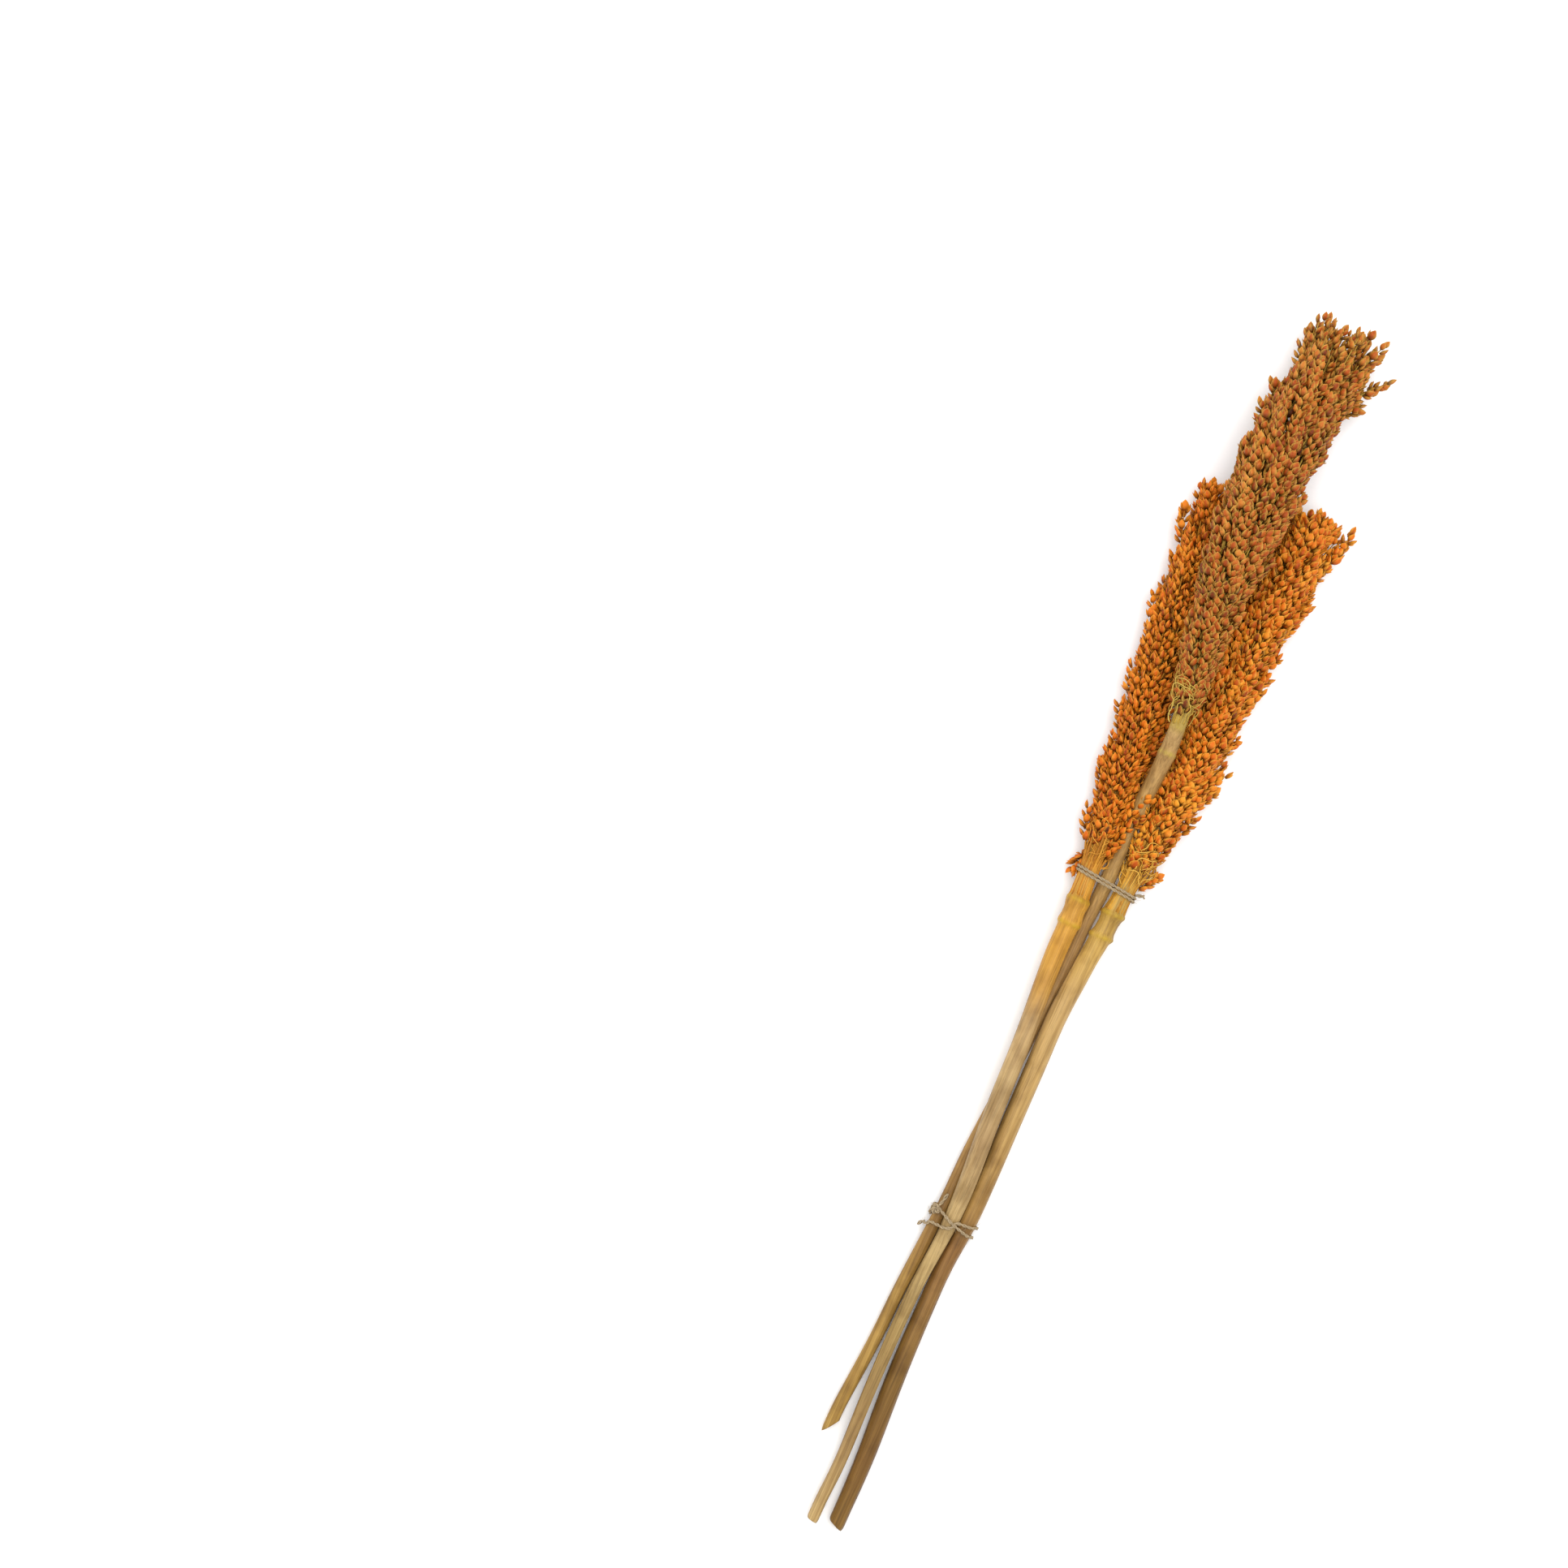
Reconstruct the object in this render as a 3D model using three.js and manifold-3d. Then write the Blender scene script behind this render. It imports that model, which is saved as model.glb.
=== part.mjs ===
// Bundle of three dried sorghum heads, tied twice with twine and lying down.
// Millimetres. +Y runs from the cut ends to the seed heads, +X to the right seen from above, +Z up.
// Every body is described by its sections across the bundle: a stem or a head is a round section
// whose middle, height and radius change with Y.
import * as THREE from 'three'
import { mergeVertices } from 'three/addons/utils/BufferGeometryUtils.js'
import Module from 'manifold-3d'

const wasm = await Module()
wasm.setup()

// ---- places along the bundle ----
const LOWER_TIE_Y = 162
const UPPER_TIE_Y = 346
const LEFT_HEAD_LENGTH = 206
const RIGHT_HEAD_LENGTH = 213
const MIDDLE_HEAD_RISE = 90
const MIDDLE_HEAD_LENGTH = 214

// ---- widths ----
const LEFT_STEM_RADIUS = 4.9
const MIDDLE_STEM_RADIUS = 3.7
const RIGHT_STEM_RADIUS = 4.9
const LEFT_HEAD_RADIUS = 13
const RIGHT_HEAD_RADIUS = 14.5
const MIDDLE_HEAD_RADIUS = 19.5
const NODE_RING_RISE = 0.9
const NODE_RING_LENGTH = 2.4
const TWINE_RADIUS = 0.95
const KNOT_RADIUS = 1.7

// ---- heights above the surface ----
const UPPER_TIE_HEIGHT = 12.6
const LEFT_END_HEIGHT = 5.5
const HEAD_PRESS = 2.5

// ---- gaps ----
const STEM_GAP = 0.4
const TWINE_GAP = 0.3
const BRANCH_GAP = 0.35
const HEAD_GAP = 0.9

// ---- division of the heads ----
const TIERS = 4
const SIDE_HEAD_SECTORS = 4
const MIDDLE_HEAD_SECTORS = 5
const BRANCH_SLOPE = 2.6
const BRANCH_ROUNDNESS = 0.62
const BRANCH_TWIST = 0.003
const SECTION_STEP = 11
const STEM_SIDES = 10

// A line through pairs of [place, value]; beyond both ends it keeps its end values.
function lineThrough(pairs, Interpolant) {
  const places = pairs.map((pair) => pair[0])
  const line = new Interpolant(places, pairs.map((pair) => pair[1]), 1)
  return (place) => line.evaluate(THREE.MathUtils.clamp(place, places[0], places[places.length - 1]))[0]
}

function smoothLine(pairs) {
  return lineThrough(pairs, THREE.CubicInterpolant)
}

function jointedLine(pairs) {
  return lineThrough(pairs, THREE.LinearInterpolant)
}

// Places are counted in landmarks: 0 the lowest cut end, 1 the lower tie, 2 the upper tie and
// 3 the head's tip. The middle stem has 3 where its head begins and 4 at its tip.
const MIDDLE_HEAD_Y = UPPER_TIE_Y + MIDDLE_HEAD_RISE
const MIDDLE_TIP_Y = MIDDLE_HEAD_Y + MIDDLE_HEAD_LENGTH
const leftMark = jointedLine([[0, 0], [LOWER_TIE_Y, 1], [UPPER_TIE_Y, 2], [UPPER_TIE_Y + LEFT_HEAD_LENGTH, 3]])
const rightMark = jointedLine([[0, 0], [LOWER_TIE_Y, 1], [UPPER_TIE_Y, 2], [UPPER_TIE_Y + RIGHT_HEAD_LENGTH, 3]])
const middleMark = jointedLine([
  [0, 0], [LOWER_TIE_Y, 1], [UPPER_TIE_Y, 2], [MIDDLE_HEAD_Y, 3], [MIDDLE_TIP_Y, 4],
])

// The middle head rests in the groove between the side heads: its height there follows from the
// three radii and from how far the side heads lie apart.
const REST_MARK = 3.4
const REST_SPREAD = 25.5
const REST_RADIUS = 0.86 * MIDDLE_HEAD_RADIUS
const SIDE_RADIUS = (LEFT_HEAD_RADIUS + RIGHT_HEAD_RADIUS) / 2
const REST_REACH = Math.max(SIDE_RADIUS + REST_RADIUS - HEAD_PRESS, REST_SPREAD + 8)
const REST_HEIGHT = SIDE_RADIUS + Math.sqrt(REST_REACH ** 2 - REST_SPREAD ** 2)

// Each stem: its plan line, its height line and its radius line over the landmarks, the places of its
// swollen rings, its two ends and the slant of its cut.
const stems = {
  left: {
    mark: leftMark,
    plan: smoothLine([
      [0, -8.7], [0.15, -6.8], [0.42, -7.9], [0.67, -8.3], [0.79, -7.9], [0.97, -5.6], [1.07, -5.6],
      [1.22, -7.4], [1.38, -8.9], [1.53, -9.8], [1.68, -11.6], [1.8, -12.6], [1.87, -12.2], [2, -13.7],
      [2.12, -14.8], [2.23, -17.9], [2.34, -18.9], [2.45, -21], [2.55, -23], [2.69, -25],
      [2.81, -26.2], [2.93, -29.6], [3, -32],
    ]),
    height: smoothLine([
      [0, LEFT_END_HEIGHT], [0.54, 8], [1, 10.9], [1.38, 13.6], [1.7, 13.4], [2, UPPER_TIE_HEIGHT],
      [2.12, 13.6], [2.34, LEFT_HEAD_RADIUS], [3, LEFT_HEAD_RADIUS],
    ]),
    radius: smoothLine([
      [0, 0.61], [0.54, 0.67], [0.94, 0.74], [1.07, 0.9], [1.68, 1], [1.8, 1.08], [2, 1.02],
      [2.12, 0.8], [2.3, 0.62], [2.6, 0.42], [3, 0.2],
    ]),
    size: LEFT_STEM_RADIUS,
    rings: [1.875, 1.924],
    ringRise: NODE_RING_RISE,
    ends: [0.004, 2.95],
    slant: 0.35,
  },
  middle: {
    mark: middleMark,
    plan: smoothLine([
      [0.28, -19.3], [0.59, -15.4], [0.77, -14.9], [0.9, -13.7], [1.06, -11.4], [1.2, -10.6],
      [1.45, -7.6], [1.72, -4.7], [1.8, -4.2], [1.89, -4.8], [2, -4.2], [2.22, -4.4], [2.56, -3.9],
      [2.78, -3.3], [3, -5.4], [3.06, -7], [3.13, -8.8], [3.26, -11.4], [3.35, -12.9], [3.47, -13.1],
      [3.6, -13], [3.74, -11.6], [3.82, -8.2], [3.89, -4.6], [3.96, -2.6], [4, -0.8],
    ]),
    height: smoothLine([
      [0.28, 3.6], [0.59, 4.2], [0.77, 5], [1, 6.2], [1.13, 5.2], [1.35, 4.9], [1.7, 5.2], [1.8, 5.6],
      [1.89, 6.4], [2, 9], [2.22, 12], [2.38, 15.5], [2.56, 19.5], [2.78, 24], [3, REST_HEIGHT - 2.5],
      [3.25, REST_HEIGHT], [3.47, REST_HEIGHT - 0.5], [3.6, REST_HEIGHT - 3.5],
      [3.8, MIDDLE_HEAD_RADIUS + 3], [4, MIDDLE_HEAD_RADIUS + 1.5],
    ]),
    radius: smoothLine([
      [0.28, 0.9], [1, 0.9], [2, 1.01], [3, 1.05], [3.1, 0.92], [3.3, 0.7], [3.6, 0.5], [4, 0.25],
    ]),
    size: MIDDLE_STEM_RADIUS,
    rings: [2.784],
    ringRise: 0.6 * NODE_RING_RISE,
    ends: [0.28, 3.93],
    slant: 1.3,
  },
  right: {
    mark: rightMark,
    plan: smoothLine([
      [0, 4.1], [0.15, 4.2], [0.27, 3.6], [0.39, 2.3], [0.51, 1.3], [0.75, 0.7], [0.88, 0.9],
      [1, 2.7], [1.17, 2.7], [1.32, 2.1], [1.48, 1.7], [1.64, 1.2], [1.72, 2.5], [1.8, 3.4],
      [1.87, 5], [2, 6.5], [2.12, 8.6], [2.17, 9.6], [2.29, 12], [2.4, 12.1], [2.62, 12.8],
      [2.73, 14.6], [2.82, 16.8], [2.92, 17.6], [3, 17],
    ]),
    height: smoothLine([
      [0, 4.3], [0.5, 5.4], [1, 6.7], [1.48, 9.8], [1.7, 11.6], [2, UPPER_TIE_HEIGHT],
      [2.12, 13.6], [2.3, RIGHT_HEAD_RADIUS], [3, RIGHT_HEAD_RADIUS],
    ]),
    radius: smoothLine([
      [0, 0.82], [0.39, 0.97], [0.88, 0.88], [1.1, 0.96], [1.8, 1.04], [2, 1.02], [2.12, 0.8],
      [2.3, 0.62], [2.6, 0.42], [3, 0.2],
    ]),
    size: RIGHT_STEM_RADIUS,
    rings: [1.87, 1.935],
    ringRise: NODE_RING_RISE,
    ends: [0, 2.95],
    slant: -0.6,
  },
}

// The radius of a stem at Y, with its swollen rings.
function stemRadius(stem, y) {
  let radius = stem.size * stem.radius(stem.mark(y))
  for (const ring of stem.rings) {
    const away = (y - placeOf(stem, ring)) / NODE_RING_LENGTH
    radius += stem.ringRise * Math.exp(-away * away)
  }
  return radius
}

// The Y at which a stem reaches a landmark, found by halving.
function placeOf(stem, wanted) {
  let low = 0
  let high = MIDDLE_TIP_Y
  for (let step = 0; step < 40; step += 1) {
    const half = (low + high) / 2
    if (stem.mark(half) < wanted) low = half
    else high = half
  }
  return (low + high) / 2
}

// Stems that would run into one another, or into the surface under them, are moved apart.
const tieLift = 2 * TWINE_RADIUS + TWINE_GAP + 0.3
const floorLine = smoothLine([[0, 0], [0.6, 0.6], [1, tieLift], [1.5, 0.6], [2, tieLift], [3, 0]])
const names = Object.keys(stems)
for (const name of names) {
  stems[name].first = placeOf(stems[name], stems[name].ends[0])
  stems[name].last = placeOf(stems[name], stems[name].ends[1])
}

function settledRow(y) {
  const row = names.map((name) => {
    const stem = stems[name]
    const mark = stem.mark(y)
    const radius = stemRadius(stem, y)
    return { x: stem.plan(mark), z: stem.height(mark), radius, low: radius + floorLine(mark) }
  })
  for (let turn = 0; turn < 60; turn += 1) {
    for (const [a, b] of [[0, 1], [1, 2], [0, 2]]) {
      const dx = row[b].x - row[a].x
      const dz = row[b].z - row[a].z
      const apart = Math.hypot(dx, dz)
      const lack = row[a].radius + row[b].radius + STEM_GAP - apart
      if (lack <= 0) continue
      row[a].x -= (0.5 * lack * dx) / apart
      row[a].z -= (0.5 * lack * dz) / apart
      row[b].x += (0.5 * lack * dx) / apart
      row[b].z += (0.5 * lack * dz) / apart
    }
    for (const section of row) section.z = Math.max(section.z, section.low)
  }
  return row
}

const places = new Set()
for (let y = 0; y <= MIDDLE_TIP_Y; y += SECTION_STEP) places.add(y)
for (const name of names) {
  places.add(stems[name].first)
  places.add(stems[name].last)
  for (const ring of stems[name].rings) {
    for (const away of [-1, 0, 1]) places.add(placeOf(stems[name], ring) + away * NODE_RING_LENGTH)
  }
}
const rows = [...places].sort((a, b) => a - b).map((y) => [y, settledRow(y)])
names.forEach((name, index) => {
  const line = (key) => jointedLine(rows.map(([y, row]) => [y, row[index][key]]))
  stems[name].x = line('x')
  stems[name].z = line('z')
  stems[name].r = line('radius')
})

// A stem is a turned shape whose sections are then set on its line.
function stemShape(stem) {
  const inside = rows.map((entry) => entry[0]).filter((y) => y > stem.first + 1 && y < stem.last - 1)
  const stations = [stem.first, ...inside, stem.last]
  const profile = stations.map((y) => new THREE.Vector2(stem.r(y), y))
  profile.unshift(new THREE.Vector2(0, stem.first))
  profile.push(new THREE.Vector2(0, stem.last))
  const shape = new THREE.LatheGeometry(profile, STEM_SIDES)
  const points = shape.attributes.position
  for (let i = 0; i < points.count; i += 1) {
    const y = points.getY(i)
    const cut = y < stem.first + 0.01 ? stem.slant * points.getX(i) : 0
    points.setXYZ(i, points.getX(i) + stem.x(y), y + cut, points.getZ(i) + stem.z(y))
  }
  return shape
}

// Each head: the stem inside it, where its branches begin and end, its radius line from base to tip.
const heads = {
  left: {
    stem: stems.left,
    from: UPPER_TIE_Y + 5,
    to: UPPER_TIE_Y + LEFT_HEAD_LENGTH,
    size: LEFT_HEAD_RADIUS,
    outline: smoothLine([
      [0, 0.4], [0.1, 0.56], [0.17, 0.77], [0.28, 0.93], [0.45, 1], [0.85, 1], [0.95, 0.82], [1, 0.5],
    ]),
    sectors: SIDE_HEAD_SECTORS,
    turned: 0.5,
  },
  middle: {
    stem: stems.middle,
    from: MIDDLE_HEAD_Y,
    to: MIDDLE_TIP_Y,
    size: MIDDLE_HEAD_RADIUS,
    outline: smoothLine([
      [0, 0.3], [0.1, 0.51], [0.16, 0.57], [0.26, 0.68], [0.33, 0.82], [0.47, 0.93], [0.6, 1],
      [0.81, 1], [0.89, 0.9], [0.95, 0.72], [1, 0.4],
    ]),
    sectors: MIDDLE_HEAD_SECTORS,
    turned: 0.3,
  },
  right: {
    stem: stems.right,
    from: UPPER_TIE_Y + 5,
    to: UPPER_TIE_Y + RIGHT_HEAD_LENGTH,
    size: RIGHT_HEAD_RADIUS,
    outline: smoothLine([
      [0, 0.4], [0.1, 0.52], [0.16, 0.74], [0.29, 0.94], [0.45, 1], [0.85, 1], [0.95, 0.8], [1, 0.5],
    ]),
    sectors: SIDE_HEAD_SECTORS,
    turned: 1.1,
  },
}

function headRadius(head, y) {
  return head.size * head.outline((y - head.from) / (head.to - head.from))
}

// How far a ray from a head's axis may run before it meets the flat face between the head and a
// round neighbour.
function roomBefore(dx, dz, direction, radius) {
  const apart = Math.hypot(dx, dz)
  const facing = (dx * direction.x + dz * direction.y) / apart
  return facing > 0 ? (apart - radius) / facing : Infinity
}

// The reach of a head at Y in one direction: its own outline, cut short by the surface under it,
// by the middle stem or the side heads, and by the plane midway between the side heads.
function headReach(head, y, angle) {
  const direction = new THREE.Vector2(Math.cos(angle), Math.sin(angle))
  const x = head.stem.x(y)
  const z = head.stem.z(y)
  let reach = headRadius(head, y)
  if (direction.y < 0) reach = Math.min(reach, z / -direction.y)
  const sides = [heads.left, heads.right]
  if (head === heads.middle) {
    for (const side of sides) {
      if (y > side.to + 4) continue
      const gap = headRadius(side, y) + HEAD_GAP
      reach = Math.min(reach, roomBefore(side.stem.x(y) - x, side.stem.z(y) - z, direction, gap))
    }
  } else {
    const other = sides[head === heads.left ? 1 : 0]
    const towards = (other.stem.x(y) - x) * direction.x
    if (towards > 0) reach = Math.min(reach, ((other.stem.x(y) - x) ** 2 / 2 / towards) - HEAD_GAP)
    const stem = stems.middle
    const gap = stem.r(y) + HEAD_GAP
    reach = Math.min(reach, roomBefore(stem.x(y) - x, stem.z(y) - z, direction, gap))
  }
  return reach
}

// One seed branch: a plump body that fills its own share of the head. It climbs outwards, so its
// share lies between two cones, two flat sides, the thin axis inside and the head's outline.
function branchShape(head, middleAngle, halfAngle, low, high) {
  const shape = new THREE.SphereGeometry(1, 10, 8)
  const points = shape.attributes.position
  const round = (value) => Math.sign(value) * Math.abs(value) ** BRANCH_ROUNDNESS
  for (let i = 0; i < points.count; i += 1) {
    const along = (points.getY(i) + 1) / 2
    const width = Math.hypot(points.getX(i), points.getZ(i))
    const swell = width > 1e-6 ? Math.sqrt(width) / width : 0
    const across = round(-points.getX(i) * swell)
    const out = (round(points.getZ(i) * swell) + 1) / 2
    const start = THREE.MathUtils.lerp(low, high, along)
    let near = 0
    let far = head.size * 1.1
    let at = null
    for (let step = 0; step < 24; step += 1) {
      const radius = (near + far) / 2
      const y = Math.min(start + BRANCH_SLOPE * radius, head.to)
      const inner = head.stem.r(y) + BRANCH_GAP
      const wall = halfAngle - Math.asin(Math.min(0.9, BRANCH_GAP / 2 / Math.max(radius, inner)))
      const angle = middleAngle + BRANCH_TWIST * (y - head.from) + across * wall
      const outer = Math.max(headReach(head, y, angle), inner + 0.6)
      const wanted = inner + out * (outer - inner)
      at = { y, angle, radius: wanted }
      if (radius < wanted) near = radius
      else far = radius
    }
    points.setXYZ(
      i,
      head.stem.x(at.y) + at.radius * Math.cos(at.angle),
      at.y,
      head.stem.z(at.y) + at.radius * Math.sin(at.angle),
    )
  }
  return shape
}

// The wrapping line of the twine: the point of the stems' common outline that faces one direction.
function wrapPoint(y, angle, lift) {
  let best = null
  for (const name of names) {
    const stem = stems[name]
    const radius = stem.r(y) + TWINE_GAP + TWINE_RADIUS + lift
    const x = stem.x(y) + radius * Math.cos(angle)
    const z = stem.z(y) + radius * Math.sin(angle)
    const reach = x * Math.cos(angle) + z * Math.sin(angle)
    if (!best || reach > best.reach) best = { reach, point: new THREE.Vector3(x, y, z) }
  }
  return best.point
}

function twineShape(points, steps) {
  const path = new THREE.CatmullRomCurve3(points, false, 'centripetal')
  path.arcLengthDivisions = 600
  const round = new THREE.Shape().absarc(0, 0, TWINE_RADIUS, 0, 2 * Math.PI)
  return new THREE.ExtrudeGeometry(round, { steps, extrudePath: path, curveSegments: 3, bevelEnabled: false })
}

// Fills long straight stretches so that the smoothed line stays on them.
function filled(points) {
  const result = [points[0]]
  for (const point of points.slice(1)) {
    const last = result[result.length - 1]
    const parts = Math.ceil(last.distanceTo(point) / 2.5)
    for (let part = 1; part <= parts; part += 1) result.push(last.clone().lerp(point, part / parts))
  }
  return result
}

// The upper tie: two turns side by side, both ends at the right, one of them left standing out.
function upperTieShape() {
  const pitch = 2 * TWINE_RADIUS + 0.25
  const steps = 48
  const points = []
  for (let step = 0; step <= 2 * steps; step += 1) {
    const turn = step / steps
    points.push(wrapPoint(UPPER_TIE_Y + pitch * (turn - 1), 2 * Math.PI * turn - 0.3, 0))
  }
  const last = points[points.length - 1]
  points.push(new THREE.Vector3(last.x + 1.6, last.y + 0.6, last.z - 1.2))
  points.push(new THREE.Vector3(last.x + 4.2, last.y + 1.4, last.z - 1.6))
  return twineShape(filled(points), 84)
}

// The lower tie: one cord that goes over the stems from low left to high right, back beneath them,
// over again from high left to low right across its first turn, and beneath to the knot.
const CROSS_HALF = 3
const CROSS_X = -3.2
function lowerTiePoints() {
  const left = wrapPoint(LOWER_TIE_Y, Math.PI, 0).x
  const right = wrapPoint(LOWER_TIE_Y, 0, 0).x
  const steps = 48
  const points = []
  for (let step = 0; step <= 2 * steps; step += 1) {
    const angle = Math.PI - (2 * Math.PI * step) / steps
    const turn = Math.floor(step / steps)
    const over = step % steps < steps / 2
    const plain = wrapPoint(LOWER_TIE_Y, angle, 0)
    const share = THREE.MathUtils.smoothstep(plain.x, left + 1, right - 1) * 2 - 1
    let aside = CROSS_HALF
    let lift = 0
    if (over) {
      aside = CROSS_HALF * (turn === 0 ? share : -share)
      if (turn === 1) lift = (2 * TWINE_RADIUS + TWINE_GAP) * Math.exp(-(((plain.x - CROSS_X) / 3.2) ** 2))
    } else if (turn === 1) {
      aside = -CROSS_HALF * (0.5 + 0.5 * share)
    }
    points.push(wrapPoint(LOWER_TIE_Y + aside, angle, lift))
  }
  return points
}

function toSolid(shape) {
  const bare = new THREE.BufferGeometry()
  bare.setAttribute('position', shape.attributes.position)
  if (shape.index) bare.setIndex(shape.index)
  const merged = mergeVertices(bare, 1e-3)
  const mesh = new wasm.Mesh({
    numProp: 3,
    vertProperties: new Float32Array(merged.attributes.position.array),
    triVerts: new Uint32Array(merged.index.array),
  })
  return new wasm.Manifold(mesh)
}

function toShape(solid) {
  const mesh = solid.getMesh()
  const shape = new THREE.BufferGeometry()
  shape.setAttribute('position', new THREE.BufferAttribute(new Float32Array(mesh.vertProperties), 3))
  shape.setIndex(new THREE.BufferAttribute(new Uint32Array(mesh.triVerts), 1))
  shape.computeVertexNormals()
  return shape
}

function lowerTieShape() {
  const points = lowerTiePoints()
  const stem = stems.middle
  const knotY = LOWER_TIE_Y + CROSS_HALF + 0.6
  const knotAngle = 2.1
  const reach = stem.r(knotY) + TWINE_GAP + KNOT_RADIUS + TWINE_RADIUS
  const onStem = (y, angle, radius) => new THREE.Vector3(
    stem.x(y) + radius * Math.cos(angle), y, stem.z(y) + radius * Math.sin(angle))
  const knotAt = onStem(knotY, knotAngle, reach)
  const low = stem.r(knotY) + TWINE_GAP + TWINE_RADIUS
  points.unshift(onStem(LOWER_TIE_Y - CROSS_HALF - 1.5, Math.PI + 0.1, low + 0.6))
  points.unshift(onStem(LOWER_TIE_Y - CROSS_HALF - 4.5, Math.PI + 0.2, low + 3.2))
  points.push(knotAt.clone())
  const knot = new THREE.TorusKnotGeometry(KNOT_RADIUS, TWINE_RADIUS, 30, 6, 2, 3)
  knot.rotateX(Math.PI / 2)
  knot.scale(1, 1.15, 0.8)
  knot.translate(knotAt.x, knotAt.y, knotAt.z)
  const core = new THREE.SphereGeometry(1.35 * KNOT_RADIUS, 8, 6)
  core.translate(knotAt.x, knotAt.y, knotAt.z)
  const tail = twineShape([
    knotAt.clone(), onStem(knotY + 4, knotAngle - 0.2, low + 0.7), onStem(knotY + 8.5, knotAngle - 0.4, low + 0.3),
  ], 8)
  const cord = twineShape(filled(points), 90)
  const tied = [knot, core, tail].reduce((solid, shape) => solid.add(toSolid(shape)), toSolid(cord))
  return toShape(tied.simplify(0.03))
}

// ---- assembly ----
const finishes = {
  left_stem: { color: 0xc29a5c, roughness: 0.62 },
  middle_stem: { color: 0xa17a48, roughness: 0.68 },
  right_stem: { color: 0xba9257, roughness: 0.62 },
  left_head: { color: 0xa5621f, roughness: 0.75 },
  middle_head: { color: 0x95571f, roughness: 0.75 },
  right_head: { color: 0xb16b22, roughness: 0.75 },
  twine: { color: 0xab8a63, roughness: 0.95 },
}

const bundle = new THREE.Group()
bundle.name = 'dried_grass_bundle'

function place(name, shape, finish) {
  const mesh = new THREE.Mesh(shape, new THREE.MeshStandardMaterial({ ...finishes[finish], metalness: 0 }))
  mesh.name = name
  bundle.add(mesh)
}

for (const name of names) {
  place(`${name}_stem`, stemShape(stems[name]), `${name}_stem`)
}

const CONE_GAP = BRANCH_GAP * Math.hypot(1, BRANCH_SLOPE)
for (const name of names) {
  const head = heads[name]
  const halfAngle = Math.PI / head.sectors
  const lowest = head.from - BRANCH_SLOPE * head.stem.r(head.from)
  const highest = head.to - BRANCH_SLOPE * head.size * 0.55
  const tier = (highest - lowest) / TIERS
  for (let sector = 0; sector < head.sectors; sector += 1) {
    const shift = ((sector * 2) % head.sectors) / head.sectors - 0.4
    const bounds = [lowest]
    for (let level = 1; level < TIERS; level += 1) bounds.push(lowest + tier * (level + 0.7 * shift))
    bounds.push(highest)
    for (let level = 0; level < TIERS; level += 1) {
      const number = String(level * head.sectors + sector + 1).padStart(2, '0')
      const angle = head.turned + 2 * halfAngle * sector
      place(
        `${name}_head_branch_${number}`,
        branchShape(head, angle, halfAngle, bounds[level], bounds[level + 1] - CONE_GAP),
        `${name}_head`,
      )
    }
  }
}

place('upper_tie', upperTieShape(), 'twine')
place('lower_tie', lowerTieShape(), 'twine')

// The origin is under the middle of the bundle's outer box, on the surface it lies on.
const box = new THREE.Box3().setFromObject(bundle)
const middle = box.getCenter(new THREE.Vector3())
for (const mesh of bundle.children) mesh.geometry.translate(-middle.x, -middle.y, -box.min.z)

export default bundle
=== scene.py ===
# %% [markdown]
# # A bundle of dried sorghum heads
# Three seed heads of sorghum, a tall grain grass, are cut with their stems, tied twice with twine and
# laid down. This lesson dresses the plain CAD solids of the bundle: thousands of small pointed seed
# husks on fine stalks, ridged straw with a split end, hairy two-ply twine, and soft studio light.
# The bundle lies along +Y, from the cut ends to the heads. Lengths are in metres.

# %% Load the bundle's fixed frame
import math

import bpy
import numpy as np
from mathutils import Matrix, Vector


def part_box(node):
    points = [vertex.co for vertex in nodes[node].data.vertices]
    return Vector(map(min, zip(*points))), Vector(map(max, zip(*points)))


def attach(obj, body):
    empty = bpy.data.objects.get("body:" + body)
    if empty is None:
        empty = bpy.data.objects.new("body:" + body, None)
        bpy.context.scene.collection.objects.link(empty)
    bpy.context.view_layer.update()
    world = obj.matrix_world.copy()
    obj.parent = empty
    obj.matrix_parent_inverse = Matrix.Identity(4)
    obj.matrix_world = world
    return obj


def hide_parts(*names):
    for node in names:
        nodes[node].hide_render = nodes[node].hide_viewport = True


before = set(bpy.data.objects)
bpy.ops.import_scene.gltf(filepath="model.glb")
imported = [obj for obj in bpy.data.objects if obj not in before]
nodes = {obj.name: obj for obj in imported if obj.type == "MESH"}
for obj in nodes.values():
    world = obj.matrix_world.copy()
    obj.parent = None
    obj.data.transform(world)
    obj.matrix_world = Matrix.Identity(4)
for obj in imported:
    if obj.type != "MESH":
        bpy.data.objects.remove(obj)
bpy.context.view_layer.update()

MM = 0.001
HEADS = ("left", "middle", "right")

# %% [markdown]
# ## Where the stems run
# Each CAD stem is a row of round rings across the bundle. Their middles and radii can be read off the
# solid and smoothed into one line per stem, so that all the fine work follows the same stems the solid
# model has, and would follow them if they changed.

# %% Read each stem's line off its rings
LINE_STEP = 1.0 * MM
# A level with fewer corners than this is not a ring of the stem.
RING_CORNERS = 9


def corners_of(node):
    """All the corner points of a CAD node, one row each."""
    mesh = nodes[node].data
    points = np.empty(3 * len(mesh.vertices))
    mesh.vertices.foreach_get("co", points)
    return points.reshape(-1, 3)


def softened(values, reach):
    """The values averaged with their neighbours, with the ends held."""
    weights = np.exp(-0.5 * (np.arange(-2 * reach, 2 * reach + 1) / reach) ** 2)
    padded = np.pad(values, 2 * reach, mode="reflect", reflect_type="odd")
    return np.convolve(padded, weights / weights.sum(), mode="valid")


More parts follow.
